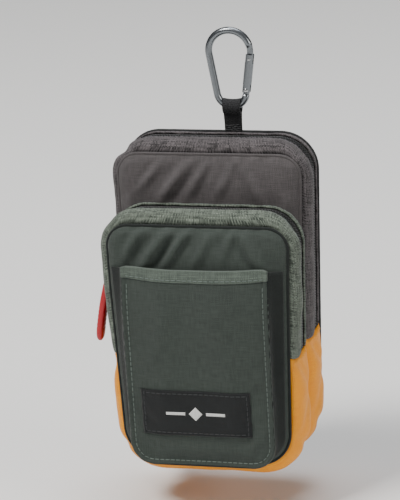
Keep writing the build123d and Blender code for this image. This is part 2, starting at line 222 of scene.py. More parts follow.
def pouch_outline(top, inset=0.0):
    """The pouch's outline below one top edge, taken in by inset."""
    low, high = BOTTOM + inset, top - inset
    return Outline(high, low, half_at(high) - inset, half_at(low) - inset,
                   TOP_RADIUS - inset, BOTTOM_RADIUS - inset)


SEAM_IN, SEAM_DROP = 3.0 * MM, 5.0 * MM  # the walls' round front edges, at the sides and at the top
SEAM_TOP_RADIUS, SEAM_BOTTOM_RADIUS = 12 * MM, 19.5 * MM
PANEL_LEAN = 3.0 * MM


def seam_outline(top):
    """Where a wall is sewn to its front panel: inside the wall's own outline, with tighter top corners."""
    low, high = BOTTOM + SEAM_IN, top - SEAM_DROP
    return Outline(high, low, half_at(high) - SEAM_IN, half_at(low) - SEAM_IN,
                   SEAM_TOP_RADIUS, SEAM_BOTTOM_RADIUS)


MAIN, FRONT = pouch_outline(MAIN_TOP), pouch_outline(FRONT_TOP)
MAIN_SEAM, FRONT_SEAM = seam_outline(MAIN_TOP), seam_outline(FRONT_TOP)


def smooth_step(value, low, high):
    """0 below low, 1 above high, eased between them."""
    t = min(1.0, max(0.0, (value - low) / (high - low)))
    return t * t * (3 - 2 * t)


def lean_back(z, top):
    """How far a front panel's top is drawn back from upright."""
    return PANEL_LEAN * (1 - smooth_step(top - z, -15 * MM, 42 * MM))


def wander(x, z, size, seed=0.0):
    """Slow unevenness from -1 to 1, with features of about that size."""
    return noise.noise(Vector((x / size, seed, z / size)))


# --- shader groups ----------------------------------------------------------------------------------
def node_group(name, inputs, outputs):
    """An empty shader group with named sockets, and helpers to fill it."""
    group = bpy.data.node_groups.new(name, "ShaderNodeTree")
    for label, kind, value in inputs:
        socket = group.interface.new_socket(label, in_out="INPUT", socket_type=kind)
        if value is not None:
            socket.default_value = value
    for label, kind in outputs:
        group.interface.new_socket(label, in_out="OUTPUT", socket_type=kind)
    return group, group.nodes.new("NodeGroupInput"), group.nodes.new("NodeGroupOutput")


def math_node(tree, operation, *values):
    """A Math node; each value is a number or a socket."""
    node = tree.nodes.new("ShaderNodeMath")
    node.operation = operation
    for socket, value in zip(node.inputs, values):
        if isinstance(value, bpy.types.NodeSocket):
            tree.links.new(value, socket)
        else:
            socket.default_value = value
    return node.outputs[0]


def noise_node(tree, vector, scale, detail=2.0, roughness=0.5):
    """The value of a noise texture on a vector."""
    node = tree.nodes.new("ShaderNodeTexNoise")
    node.inputs["Scale"].default_value = scale
    node.inputs["Detail"].default_value = detail
    node.inputs["Roughness"].default_value = roughness
    tree.links.new(vector, node.inputs["Vector"])
    return node.outputs["Fac"]


def scaled(tree, vector, scale):
    """A vector stretched by a Mapping node."""
    node = tree.nodes.new("ShaderNodeMapping")
    node.inputs["Scale"].default_value = scale
    tree.links.new(vector, node.inputs["Vector"])
    return node.outputs["Vector"]


def mixed(tree, kind, factor, a, b):
    """A Mix node of floats or colours; each of the three is a value or a socket."""
    node = tree.nodes.new("ShaderNodeMix")
    node.data_type = kind
    pick = {"FLOAT": (0, 2, 3, 0), "RGBA": (0, 6, 7, 2)}[kind]
    for index, value in zip(pick, (factor, a, b)):
        if isinstance(value, bpy.types.NodeSocket):
            tree.links.new(value, node.inputs[index])
        else:
            node.inputs[index].default_value = value
    return node.outputs[pick[3]]


def weave_group():
    """Plain weave on a map in metres: the height of the threads, and each thread's own tone."""
    group, source, sink = node_group(
        "plain_weave",
        [("Vector", "NodeSocketVector", None), ("Threads", "NodeSocketFloat", 1600.0)],
        [("Height", "NodeSocketFloat"), ("Tone", "NodeSocketFloat")],
    )
    split = group.nodes.new("ShaderNodeSeparateXYZ")
    group.links.new(source.outputs["Vector"], split.inputs[0])
    u = math_node(group, "MULTIPLY", split.outputs["X"], source.outputs["Threads"])
    v = math_node(group, "MULTIPLY", split.outputs["Y"], source.outputs["Threads"])
    warp = math_node(group, "ABSOLUTE", math_node(group, "SINE", math_node(group, "MULTIPLY", u, math.pi)))
    weft = math_node(group, "ABSOLUTE", math_node(group, "SINE", math_node(group, "MULTIPLY", v, math.pi)))
    rows = math_node(group, "ADD", math_node(group, "FLOOR", u), math_node(group, "FLOOR", v))
    above_zero = math_node(group, "ADD", rows, 4096)
    over = math_node(group, "GREATER_THAN", math_node(group, "MODULO", above_zero, 2.0), 0.5)
    along_warp = noise_node(group, scaled(group, source.outputs["Vector"], (1.0, 0.09, 0)), 1500, 1.0)
    along_weft = noise_node(group, scaled(group, source.outputs["Vector"], (0.09, 1.0, 0)), 1500, 1.0)
    group.links.new(mixed(group, "FLOAT", over, warp, weft), sink.inputs["Height"])
    tone = mixed(group, "FLOAT", over, along_warp, along_weft)
    stretched = math_node(group, "MULTIPLY_ADD", tone, 3.4, -1.2)
    clamp = group.nodes.new("ShaderNodeClamp")
    group.links.new(stretched, clamp.inputs[0])
    group.links.new(clamp.outputs[0], sink.inputs["Tone"])
    return group


def mottle_group():
    """Use and handling: soft patches of two sizes, as a mask about 0.5."""
    group, source, sink = node_group(
        "handling",
        [("Vector", "NodeSocketVector", None), ("Size", "NodeSocketFloat", 30.0)],
        [("Mask", "NodeSocketFloat"), ("Fine", "NodeSocketFloat")],
    )
    broad = group.nodes.new("ShaderNodeTexNoise")
    broad.inputs["Detail"].default_value = 3.0
    group.links.new(source.outputs["Vector"], broad.inputs["Vector"])
    group.links.new(source.outputs["Size"], broad.inputs["Scale"])
    group.links.new(broad.outputs["Fac"], sink.inputs["Mask"])
    group.links.new(noise_node(group, source.outputs["Vector"], 700, 3.0, 0.6), sink.inputs["Fine"])
    return group


WEAVE, HANDLING = weave_group(), mottle_group()


def placed_group(tree, group, vector, **values):
    """A shader group in a material, with this material's own values."""
    node = tree.nodes.new("ShaderNodeGroup")
    node.node_tree = group
    tree.links.new(vector, node.inputs["Vector"])
    for label, value in values.items():
        node.inputs[label].default_value = value
    return node


def new_material(name, roughness, **constants):
    """A Principled material with its constants set on the sockets; returns it, its tree and its shader."""
    material = bpy.data.materials.new(name)
    material.use_nodes = True
    shader = material.node_tree.nodes["Principled BSDF"]
    shader.inputs["Roughness"].default_value = roughness
    for label, value in constants.items():
        shader.inputs[label.replace("_", " ")].default_value = value
    return material, material.node_tree, shader


def bumped(tree, shader, height, distance, strength=1.0):
    """Relief from a height, distance being how far 0 lies from 1."""
    node = tree.nodes.new("ShaderNodeBump")
    node.inputs["Distance"].default_value = distance
    node.inputs["Strength"].default_value = strength
    tree.links.new(height, node.inputs["Height"])
    tree.links.new(node.outputs["Normal"], shader.inputs["Normal"])


def rgb(red, green, blue):
    """Linear colour from screen values of 0 to 255."""
    def linear(c):
        c /= 255
        return c / 12.92 if c <= 0.04045 else ((c + 0.055) / 1.055) ** 2.4
    return (linear(red), linear(green), linear(blue), 1.0)


def cloth(name, dark, light, threads=1700.0, tone=0.5, depth=0.10, roughness=0.8, sheen=0.08, coat=0.0):
    """Woven cloth on the piece's own map: two thread colours, weave relief, painted shade between the threads
    and the marks of use.
    """
    material, tree, shader = new_material(
        name, roughness, Sheen_Weight=sheen, Sheen_Roughness=0.45, Coat_Weight=coat, Coat_Roughness=0.35
    )
    shader.inputs["Specular IOR Level"].default_value = 0.25
    where = tree.nodes.new("ShaderNodeUVMap")
    where.uv_map = "cloth"
    weave = placed_group(tree, WEAVE, where.outputs["UV"], Threads=threads)
    use = placed_group(tree, HANDLING, where.outputs["UV"], Size=38.0)
    thread = math_node(tree, "MULTIPLY_ADD", weave.outputs["Tone"], tone, 0.5 - tone / 2)
    base = mixed(tree, "RGBA", thread, dark, light)
    # painted shade: the low places between the threads are darkened, as shade would fall there
    groove = math_node(tree, "MULTIPLY_ADD", weave.outputs["Height"], 0.35, 0.65)
    # the marks of use: random lighter and darker patches
    worn = math_node(tree, "MULTIPLY_ADD", use.outputs["Mask"], 0.35, 0.83)
    # shade holds both the painted shade between threads and the marks of use
    shade = math_node(tree, "MULTIPLY", groove, worn)
    tree.links.new(mixed(tree, "RGBA", shade, (0, 0, 0, 1), base), shader.inputs["Base Color"])
    rough = math_node(tree, "MULTIPLY_ADD", use.outputs["Mask"], 0.16, roughness - 0.08)
    tree.links.new(rough, shader.inputs["Roughness"])
    fuzz = math_node(tree, "MULTIPLY", use.outputs["Fine"], 0.6)
    bumped(tree, shader, math_node(tree, "ADD", weave.outputs["Height"], fuzz), depth * MM)
    return material


def metal(name, colour, roughness, metallic=1.0):
    """Plated metal with fine tumbling marks and slightly uneven shine."""
    material, tree, shader = new_material(name, roughness, Metallic=metallic)
    shader.inputs["Base Color"].default_value = colour
    where = tree.nodes.new("ShaderNodeTexCoord").outputs["Object"]
    use = placed_group(tree, HANDLING, where, Size=180.0)
    rough = math_node(tree, "MULTIPLY_ADD", use.outputs["Mask"], 0.25, roughness - 0.1)
    tree.links.new(rough, shader.inputs["Roughness"])
    tone = math_node(tree, "MULTIPLY_ADD", use.outputs["Fine"], 0.3, 0.85)
    tree.links.new(mixed(tree, "RGBA", tone, (0, 0, 0, 1), colour), shader.inputs["Base Color"])
    bumped(tree, shader, use.outputs["Fine"], 0.02 * MM)
    return material


def moulded(name, colour, roughness, grain=0.05, coat=0.0):
    """Moulded rubber or nylon with a fine grain and rubbed patches."""
    material, tree, shader = new_material(name, roughness, Coat_Weight=coat, Coat_Roughness=0.3)
    where = tree.nodes.new("ShaderNodeTexCoord").outputs["Object"]
    use = placed_group(tree, HANDLING, where, Size=90.0)
    tone = math_node(tree, "MULTIPLY_ADD", use.outputs["Mask"], 0.4, 0.8)
    tree.links.new(mixed(tree, "RGBA", tone, (0, 0, 0, 1), colour), shader.inputs["Base Color"])
    rough = math_node(tree, "MULTIPLY_ADD", use.outputs["Mask"], 0.2, roughness - 0.1)
    tree.links.new(rough, shader.inputs["Roughness"])
    bumped(tree, shader, use.outputs["Fine"], grain * MM)
    return material


CHARCOAL = cloth("charcoal_cloth", rgb(58, 55, 56), rgb(94, 90, 91), tone=0.45)
CHARCOAL_HEATHER = cloth("charcoal_heather", rgb(40, 38, 39), rgb(100, 95, 97), threads=1300, tone=1.0,
                         depth=0.14)
GREEN = cloth("green_cloth", rgb(39, 47, 43), rgb(72, 80, 75), tone=0.4)
GREEN_HEATHER = cloth("green_heather", rgb(50, 57, 51), rgb(118, 127, 116), threads=1300, tone=1.0,
                      depth=0.14)
# darker green, painted shade: it colours the pocket's side gusset as if that side were in shade; the front
# seam's piping is darkened with it too
DARK_GREEN_PAINTED_SHADE = cloth("dark_green_painted_shade_cloth", rgb(14, 19, 18), rgb(32, 38, 36), tone=0.4)
# lighter green, painted highlight: the pocket's hem band is coloured as if its fold caught the light from
# above
HEM_PAINTED_HIGHLIGHT_GREEN = cloth("hem_painted_highlight_green_cloth", rgb(58, 67, 62), rgb(104, 115, 106), tone=0.5)
YELLOW = cloth("yellow_cloth", rgb(232, 132, 0), rgb(250, 170, 0), threads=2100, tone=0.5, depth=0.05,
               roughness=0.55, sheen=0.04, coat=0.05)
BINDING = cloth("binding_tape", rgb(24, 25, 26), rgb(52, 53, 54), threads=1500, tone=0.7, depth=0.12)
ZIP_TAPE = cloth("zip_tape_cloth", rgb(8, 8, 9), rgb(22, 23, 24), threads=2000, tone=0.7, depth=0.1)
WEBBING = cloth("webbing_cloth", rgb(16, 17, 19), rgb(46, 47, 50), threads=900, tone=0.7, depth=0.3)
LINING = cloth("lining_cloth", rgb(98, 101, 104), rgb(146, 149, 152), threads=1400, tone=0.7)
LABEL = cloth("label_satin", rgb(10, 13, 14), rgb(28, 32, 34), threads=2400, tone=0.6, depth=0.08,
              roughness=0.6)
LABEL_WHITE = cloth("label_white_yarn", rgb(214, 216, 214), rgb(244, 245, 243), threads=2400, tone=0.5,
                    depth=0.1)
COIL = moulded("zip_coil_nylon", rgb(14, 14, 15), 0.38, grain=0.01, coat=0.15)
RED = moulded("red_rubber", rgb(168, 4, 20), 0.42, grain=0.03, coat=0.08)
GUNMETAL = metal("gunmetal_plate", rgb(118, 122, 126), 0.28)
STEEL = metal("bright_steel", rgb(176, 178, 180), 0.22)
THREAD_GREEN = moulded("thread_green", rgb(92, 104, 98), 0.6, grain=0.02)
THREAD_CHARCOAL = moulded("thread_charcoal", rgb(96, 92, 96), 0.6, grain=0.02)
THREAD_YELLOW = moulded("thread_yellow", rgb(228, 158, 48), 0.6, grain=0.02)
THREAD_BLACK = moulded("thread_black", rgb(40, 42, 44), 0.6, grain=0.02)


# --- building helpers -------------------------------------------------------------------------------
def mapped_grid(columns, rows, place):
    """A grid whose points are moved by place(u, v) -> (position, map position), with u and v from 0 to 1."""
    bm = bmesh.new()
    bmesh.ops.create_grid(bm, x_segments=columns, y_segments=rows, size=1.0)
    uv_layer = bm.loops.layers.uv.new("cloth")
    spots = {}
    for vert in bm.verts:
        position, spot = place((vert.co.x + 1) / 2, (vert.co.y + 1) / 2)
        vert.co, spots[vert] = position, spot
    for face in bm.faces:
        for loop in face.loops:
            loop[uv_layer].uv = spots[loop.vert]
    return bm


def thicken(bm, thickness):
    """Gives an open surface its thickness, behind the side that its faces point to."""
    bm.normal_update()
    bmesh.ops.solidify(bm, geom=bm.faces[:] + bm.edges[:] + bm.verts[:], thickness=thickness)
    clean(bm)


def tree_of(bm):
    """Where stitches find the surface that they lie on."""
    bm.normal_update()
    return BVHTree.FromBMesh(bm)


def frame_at(position, along, up):
    """A placing matrix: X along, Z up from the surface."""
    along = along.normalized()
    side = up.cross(along).normalized()
    up = along.cross(side)
    return Matrix((
        (along.x, side.x, up.x, position.x),
        (along.y, side.y, up.y, position.y),
        (along.z, side.z, up.z, position.z),
        (0, 0, 0, 1),
    ))


def rounded_bar(length, width, height, bevel):
    """A small bar along X with rounded edges, as a mesh to repeat."""
    bm = bmesh.new()
    bmesh.ops.create_cube(bm, size=1.0)
    bmesh.ops.scale(bm, vec=(length, width, height), verts=bm.verts)
    bmesh.ops.bevel(bm, geom=bm.edges[:], offset=bevel, offset_type="OFFSET", segments=1, profile=0.5,
                    affect="EDGES", material=-1)
    mesh = bpy.data.meshes.new("bar")
    bm.to_mesh(mesh)
    bm.free()
    return mesh


def repeated(template, placings):
    """One bmesh with a copy of a small mesh at each placing."""
    bm = bmesh.new()
    for placing in placings:
        before = len(bm.verts)
        bm.from_mesh(template)
        bm.verts.ensure_lookup_table()
        bmesh.ops.transform(bm, matrix=placing, verts=bm.verts[before:])
    return bm


STITCH = rounded_bar(2.3 * MM, 0.5 * MM, 0.42 * MM, 0.14 * MM)
STITCH_PITCH = 3.0 * MM


def stitches(name, tree, route, towards, body, material):
    """A row of stitches along a route, dropped onto a surface in the direction towards(point, ahead)."""
    lengths = [(b - a).length for a, b in zip(route, route[1:])]
    total, placings = sum(lengths), []
    count = int(total / STITCH_PITCH)
    for i in range(count):
        left = (i + 0.5) * total / count
        for a, b, length in zip(route, route[1:], lengths):
            if left <= length:
                break
            left -= length
        ahead = (b - a).normalized()
        point = a + ahead * left
        down = towards(point, ahead)
        hit, normal, _, _ = tree.ray_cast(point - down * 12 * MM, down, 30 * MM)
        if hit is None:
            continue
        if normal.dot(down) > 0:
            normal = -normal
        along = (ahead - normal * ahead.dot(normal)).normalized()
        tilt = Matrix.Rotation(random.uniform(-0.05, 0.05), 4, "Z")
        placings.append(frame_at(hit + normal * 0.05 * MM, along, normal) @ tilt)
    return piece(name, repeated(STITCH, placings), body, material)


CREASE_HEIGHT = 2.3  # of a fold's crest, for each mm in the lists of folds
CREASE_TROUGH = 1.4  # how strongly the cloth dips beside a fold


def crease_field(creases):
    """Height from a list of folds: centre x from the pouch's middle and z, direction in degrees, length,
    width and height, in mm."""
    folds = []
    for x, z, angle, length, width, height in creases:
        a = math.radians(angle)
        folds.append((x * MM, z * MM, math.cos(a), math.sin(a), length * MM / 2, width * MM, height * MM))

    def height_at(x, z):
        x, total = x - MIDDLE_X, 0.0
        for fx, fz, cosine, sine, reach, width, height in folds:
            along = (x - fx) * cosine + (z - fz) * sine
            across = ((z - fz) * cosine - (x - fx) * sine) / width
            if abs(across) < 3.5 and abs(along) < 3 * reach:
                profile = (1 - CREASE_TROUGH * across * across) * math.exp(-across * across)
                total += CREASE_HEIGHT * height * profile * math.exp(-((along / reach) ** 2))
        return total

    return height_at


def settle(bm, pinned, fullness, pressure, cap, frames=18):
    """Lets cloth a little larger than its frame find its own folds, held where pinned(vertex) says."""
    scale = 10.0  # the solver is steadier on a larger copy
    mesh = bpy.data.meshes.new("settling")
    bm.to_mesh(mesh)
    mesh.transform(Matrix.Scale(scale, 4))
    held = [v.index for v in bm.verts if pinned(v)]
    rig = bpy.data.objects.new("settling", mesh)
    bpy.context.scene.collection.objects.link(rig)
    rig.vertex_groups.new(name="held").add(held, 1.0, "REPLACE")
    cloth_modifier = rig.modifiers.new("cloth", "CLOTH")
    settings = cloth_modifier.settings
    settings.quality = 6
    settings.mass = 0.3
    settings.tension_stiffness = settings.compression_stiffness = 25
    settings.shear_stiffness = 8
    settings.bending_stiffness = 2.5
    settings.air_damping = 4
    settings.vertex_group_mass = "held"
    settings.shrink_min = -fullness
    settings.use_pressure = True
    settings.uniform_pressure_force = pressure
    settings.effector_weights.gravity = 0.0
    cloth_modifier.collision_settings.use_collision = False
    cloth_modifier.point_cache.frame_end = frames
    for number in range(1, frames + 1):
        bpy.context.scene.frame_set(number)
    settled = rig.evaluated_get(bpy.context.evaluated_depsgraph_get()).data
    for vert, moved in zip(bm.verts, settled.vertices):
        step = moved.co / scale - vert.co
        if step.length > cap:
            step *= cap / step.length
        vert.co += step
    bpy.data.objects.remove(rig)
    bpy.data.meshes.remove(mesh)
    bpy.context.scene.frame_set(1)


# --- padded panels ----------------------------------------------------------------------------------
PANEL_COLUMNS, PANEL_ROWS = 72, 104
CROWN_REACH = 42 * MM  # from a panel's edge to where its crown is at its highest
EDGE_TURN = 4.5 * MM  # how much of its edge turns back into the seam


def padded_panel(name, outline, faces, crown, tuck, creases, body, material, replaces,
                 facing=1, thickness=1.8 * MM, fullness=0.012, pressure=0.6, cap=2.2 * MM, sewn=None):
    """A crowned panel whose edge turns back into its seam; faces is the depth of its outer face, and
    sewn(position) says where else than at its border something holds it. Returns where its surface is."""
    folds = crease_field(creases)
    high = outline.top - outline.bottom

    def place(u, v):
        z = outline.bottom + v * high
        x, z = outline.rounded((2 * u - 1) * outline.half(z), z)
        edge = outline.inside(x, z)
        rise = crown * (1 - (1 - smooth_step(edge, 0, CROWN_REACH)) ** 2)
        turned = tuck * (1 - smooth_step(edge, -1 * MM, EDGE_TURN))
        around = math.atan2(z - (outline.top + outline.bottom) / 2, x - MIDDLE_X)
        pucker = 0.28 * MM * math.sin(46 * around + 2.2 * math.sin(5 * around)) * math.exp(-edge / (5 * MM))
        soft = 0.35 * MM * wander(x, z, 26 * MM, high) + 0.12 * MM * wander(x, z, 9 * MM, 3 + high)
        held = smooth_step(edge, 0, 5 * MM)
        depth = rise - turned + held * (folds(x, z) + soft) + pucker * smooth_step(edge, 0, 2 * MM)
        if facing > 0:
            depth -= lean_back(z, outline.top)
        return Vector((x, -(faces + facing * depth), z)), (x, z)

    bm = mapped_grid(PANEL_COLUMNS, PANEL_ROWS, place)
    held_at = {v.index for v in bm.verts if v.is_boundary or (sewn and sewn(v.co))}
    if facing < 0:
        bmesh.ops.reverse_faces(bm, faces=bm.faces)
    settle(bm, lambda v: v.index in held_at, fullness, pressure, cap)
    tree = tree_of(bm)
    thicken(bm, thickness)
    made = piece(name, bm, body, material, replaces)
    return tree


# --- strips of the side walls -----------------------------------------------------------------------
ROUND_OVER = 8 * MM  # how much of a strip turns towards a seam
ROUND_OVER_END = 0.999  # just short of a full quarter turn
SEAM_TUCK = 1.4 * MM  # how far the front compartment's rear strip goes into the cover's padding
SEAM_BULGE = 1.7 * MM  # the most that a strip or a base wall swells where the two are sewn together
BASE_SAG = 2.4 * MM  # the contents weigh on the bottom


def wall_strip(name, outline, start, end, depth_range, bulge, body, material, replaces,
               hems=(True, False), tucks=(1.0, 1.0), thickness=0.9 * MM, seed=0.0, folds=(), step=1.9 * MM,
               rows=14, blended=None, from_bottom=False):
    """A strip of the wall from start to end along the outline. depth_range runs back to front; hems says
    which of its two long edges is turned under, instead of going into a seam, and tucks how far the
    others round over to the seam's own outline."""
    seam = MAIN_SEAM if outline is MAIN else FRONT_SEAM
    back, front = depth_range
    if not hems[0]:
        back -= 1.0 * MM
    wide = front - back
    columns = int((end - start) / step)

    def place(u, v):
        s, share = start + u * (end - start), 1 - v
        depth = back + share * wide
        along = math.copysign(outline.length - abs(s), s) if from_bottom else s
        point, normal, _ = outline.at(along)
        sewn = seam.at(outline.matched(seam, along))[0]
        for hemmed, tuck, near in ((hems[0], tucks[0], share), (hems[1], tucks[1], 1 - share)):
            turned = 1 - min(1.0, max(0.0, near * wide / min(ROUND_OVER, 0.75 * wide)))
            if not hemmed:
                point = point.lerp(sewn, tuck * (1 - math.sqrt(1 - turned ** 2 * ROUND_OVER_END)))
        arch = math.sin(math.pi * min(1, max(0, share))) ** 0.6
        puckers = 0.22 * MM * math.sin(s / (1.15 * MM) + 2 * math.sin(s / (9 * MM))) * (1 - arch) ** 2
        soft = 0.45 * MM * noise.noise(Vector((s / (17 * MM), share * wide / (11 * MM), seed)))
        soft += 0.2 * MM * noise.noise(Vector((s / (5 * MM), share * wide / (6 * MM), seed + 4)))
        seamed = end - abs(s)  # from the seam between the base and the strips
        swell = min(bulge, SEAM_BULGE)
        swell += (bulge - swell) * smooth_step(seamed, 0, 20 * MM)
        if from_bottom:
            swell += BASE_SAG * (1 - smooth_step(abs(s), 30 * MM, 62 * MM))
        swell -= (1.5 if from_bottom else 0.5) * MM * (1 - smooth_step(seamed, -0.5 * MM, 2.2 * MM))
        out = swell * arch + soft * min(1.0, arch * 1.5) * min(1.0, wide / (8 * MM)) + puckers
        for fold_s, reach, height, slant in folds:
            away = (s - fold_s - slant * (share - 0.5) * wide) / reach
            out -= height * math.exp(-away * away) * math.sin(math.pi * min(1, max(0, share))) ** 0.5
        for hemmed, near in ((hems[0], share), (hems[1], 1 - share)):
            edge = near * wide
            if hemmed:  # a folded edge, lifted a little, with the dip of its stitch line
                out += 0.5 * MM * (1 - smooth_step(edge, 0.6 * MM, 2.4 * MM)) - 0.5 * MM * (edge < 0.3 * MM)
                out -= 0.22 * MM * math.exp(-((edge - 1.6 * MM) / (0.45 * MM)) ** 2)
        if not hems[1]:
            depth -= lean_back(sewn.z, seam.top) * share * share
        elif outline is FRONT:  # sewn to the face of the leaning cover panel
            depth -= (lean_back(sewn.z, MAIN_TOP) + SEAM_TUCK) * (1 - share) ** 2
        return point + normal * out + Vector((0, -depth, 0)), (s, depth)

    bm = mapped_grid(columns, rows, place)
    if from_bottom:
        bmesh.ops.reverse_faces(bm, faces=bm.faces)
    tree = tree_of(bm)
    thicken(bm, thickness)
    made = piece(name, bm, None if blended else body, material, replaces)
    if blended:
        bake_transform(made)
    return tree


def piping(name, outline, depth, radius, out, body, material, replaces, flat=1.0):
    """The bound edge all round a seam."""
    around = outline.length

    def place(u, v):
        s, turn = (2 * u - 1) * around, 2 * math.pi * v
        point, normal, _ = outline.at(s)
        swell = 1 + 0.06 * noise.noise(Vector((s / (4 * MM), depth * 50, 1)))
        r = radius * swell
        offset = out + r * math.cos(turn)
        at = depth + flat * r * math.sin(turn)
        if outline is not MAIN:
            at -= lean_back(point.z, outline.top)
        return point + normal * offset + Vector((0, -at, 0)), (s, turn * radius)

    bm = mapped_grid(int(2 * around / (2.2 * MM)), 12, place)
    clean(bm)
    return piece(name, bm, body, material, replaces)


def tape(name, outline, start, end, depth_range, sunk, body, replaces):
    """A zip tape, a thin flat band a little below the wall's face, with a woven edge."""
    back, front = depth_range

    def place(u, v):
        s, depth = start + u * (end - start), back + (1 - v) * (front - back)
        point, normal, _ = outline.at(s, -sunk + 0.05 * MM * math.sin(s / (0.7 * MM)))
        return point + Vector((0, -depth, 0)), (s, depth)

    bm = mapped_grid(int((end - start) / (2.4 * MM)), 4, place)
    thicken(bm, 0.6 * MM)
    return piece(name, bm, body, ZIP_TAPE, replaces)


TOOTH_PITCH = 1.6 * MM


def teeth(name, outline, start, end, centre, way, body, replaces, closed):
    """One row of coil teeth. They reach over the zip's middle where closed(s) is true."""
    template = rounded_bar(0.85 * MM, 2.3 * MM, 0.95 * MM, 0.26 * MM)
    placings, offset = [], 0.0 if way > 0 else 0.5
    count = int((end - start) / TOOTH_PITCH)
    for i in range(count):
        s = start + (i + 0.25 + offset) * TOOTH_PITCH
        inner = -0.5 * MM if closed(s) else 0.65 * MM
        depth = centre + way * (inner + 1.15 * MM)
        point, normal, ahead = outline.at(s, -0.25 * MM)
        placings.append(frame_at(point + Vector((0, -depth, 0)), ahead, normal))
    bm = repeated(template, placings)

    def cord_place(u, v):
        s, turn = start + u * (end - start), 2 * math.pi * v
        point, normal, _ = outline.at(s, -0.25 * MM + 0.42 * MM * math.cos(turn))
        depth = centre + way * 2.1 * MM + 0.34 * MM * math.sin(turn)
        return point + Vector((0, -depth, 0)), (s, turn)

    core = mapped_grid(int((end - start) / (2.4 * MM)), 6, cord_place)
    clean(core)
    mesh = bpy.data.meshes.new("core")
    core.to_mesh(mesh)
    core.free()
    bm.from_mesh(mesh)
    bmesh.ops.recalc_face_normals(bm, faces=bm.faces)
    return piece(name, bm, body, COIL, replaces)


# --- the two compartments' walls --------------------------------------------------------------------
MAIN_END, FRONT_END = MAIN.where(ZIP_END), FRONT.where(ZIP_END)
BASE_HALF = MAIN.length - MAIN_END  # from the bottom middle up to the zips' ends
ZIP_CENTRES = {
    prefix: sum(depths(f"{prefix}_zip_coil_back") + depths(f"{prefix}_zip_coil_front")) / 4
    for prefix in ("main", "front")
}
CORNER = MAIN.runs[0] + MAIN.runs[1] / 2  # the middle of a top corner, along the outline
BACK_TUCK = 0.2  # the wall rounds over only a little at the stiff back panel
HALF_BLEND = 5 * MM  # to each side of its zip's depth; passed on in blended, whose values nothing reads


def inward(point, ahead):
    """Towards the inside, for a route that walks along an outline."""
    return Vector((ahead.z, 0, -ahead.x))


def rearward(point, ahead):
    """From the front of the pouch to its back."""
    return Vector((0, 1, 0))


def arch_route(outline, end, depth, step=2 * MM):
    """Points along a strip at one depth, from the left zip end over the top to the right one."""
    count = int(2 * end / step)
    spots = [outline.at(-end + (2 * end) * i / count)[0] for i in range(count + 1)]
    return [spot + Vector((0, -depth, 0)) for spot in spots]


# name, outline, zip end, body, material, slot, CAD node, hems at back and front, bulge, and folds, each with
# its place along the outline, reach, height and slant
STRIPS = (
    ("main_strip_back", MAIN, MAIN_END, "pouch", CHARCOAL_HEATHER, "charcoal_heather",
     "main_wall_back", (False, True), 0.4 * MM, ()),
    ("main_strip_front", MAIN, MAIN_END, "main_cover", CHARCOAL_HEATHER, "charcoal_heather",
     "main_wall_front", (True, False), 2.6 * MM,
     ((-CORNER, 4.5 * MM, 2.5 * MM, 0.5), (-CORNER + 9 * MM, 3 * MM, 0.7 * MM, -0.3),
      (CORNER, 4 * MM, 0.9 * MM, -0.3), (CORNER + 60 * MM, 6 * MM, 0.7 * MM, 0.8))),
    ("front_strip_back", FRONT, FRONT_END, "main_cover", GREEN_HEATHER, "green_heather",
     "front_wall_back", (False, True), 0.8 * MM, ()),
    ("front_strip_front", FRONT, FRONT_END, "front_cover", GREEN_HEATHER, "green_heather",
     "front_wall_front", (True, False), 3.2 * MM,
     ((-CORNER, 3.5 * MM, 0.8 * MM, 0.3), (CORNER, 4 * MM, 1.1 * MM, -0.4),
      (CORNER + 25 * MM, 5 * MM, 0.7 * MM, 0.6), (FRONT_END - 14 * MM, 4 * MM, 0.8 * MM, 0.9),
      (FRONT_END - 25 * MM, 3 * MM, 0.5 * MM, -0.7))),
)


def side_strips():
    """The heather strips on both sides of each zip, with the stitches beside it."""
    for seed, (name, outline, end, body, material, slot, node, hems, bulge, folds) in enumerate(STRIPS):
        back, front = depths(node)
        tree = wall_strip(name, outline, -end, end, (back, front), bulge, body, material, (node,),
                          hems=hems, tucks=(BACK_TUCK if body == "pouch" else 1.0, 1.0), seed=seed * 3.7,
                          folds=folds)
        route = arch_route(outline, end - 2 * MM, back + 1.6 * MM if hems[0] else front - 1.6 * MM)
        thread = THREAD_GREEN if material is GREEN_HEATHER else THREAD_CHARCOAL
        stitches(name + "_stitches", tree, route, inward, body, thread)


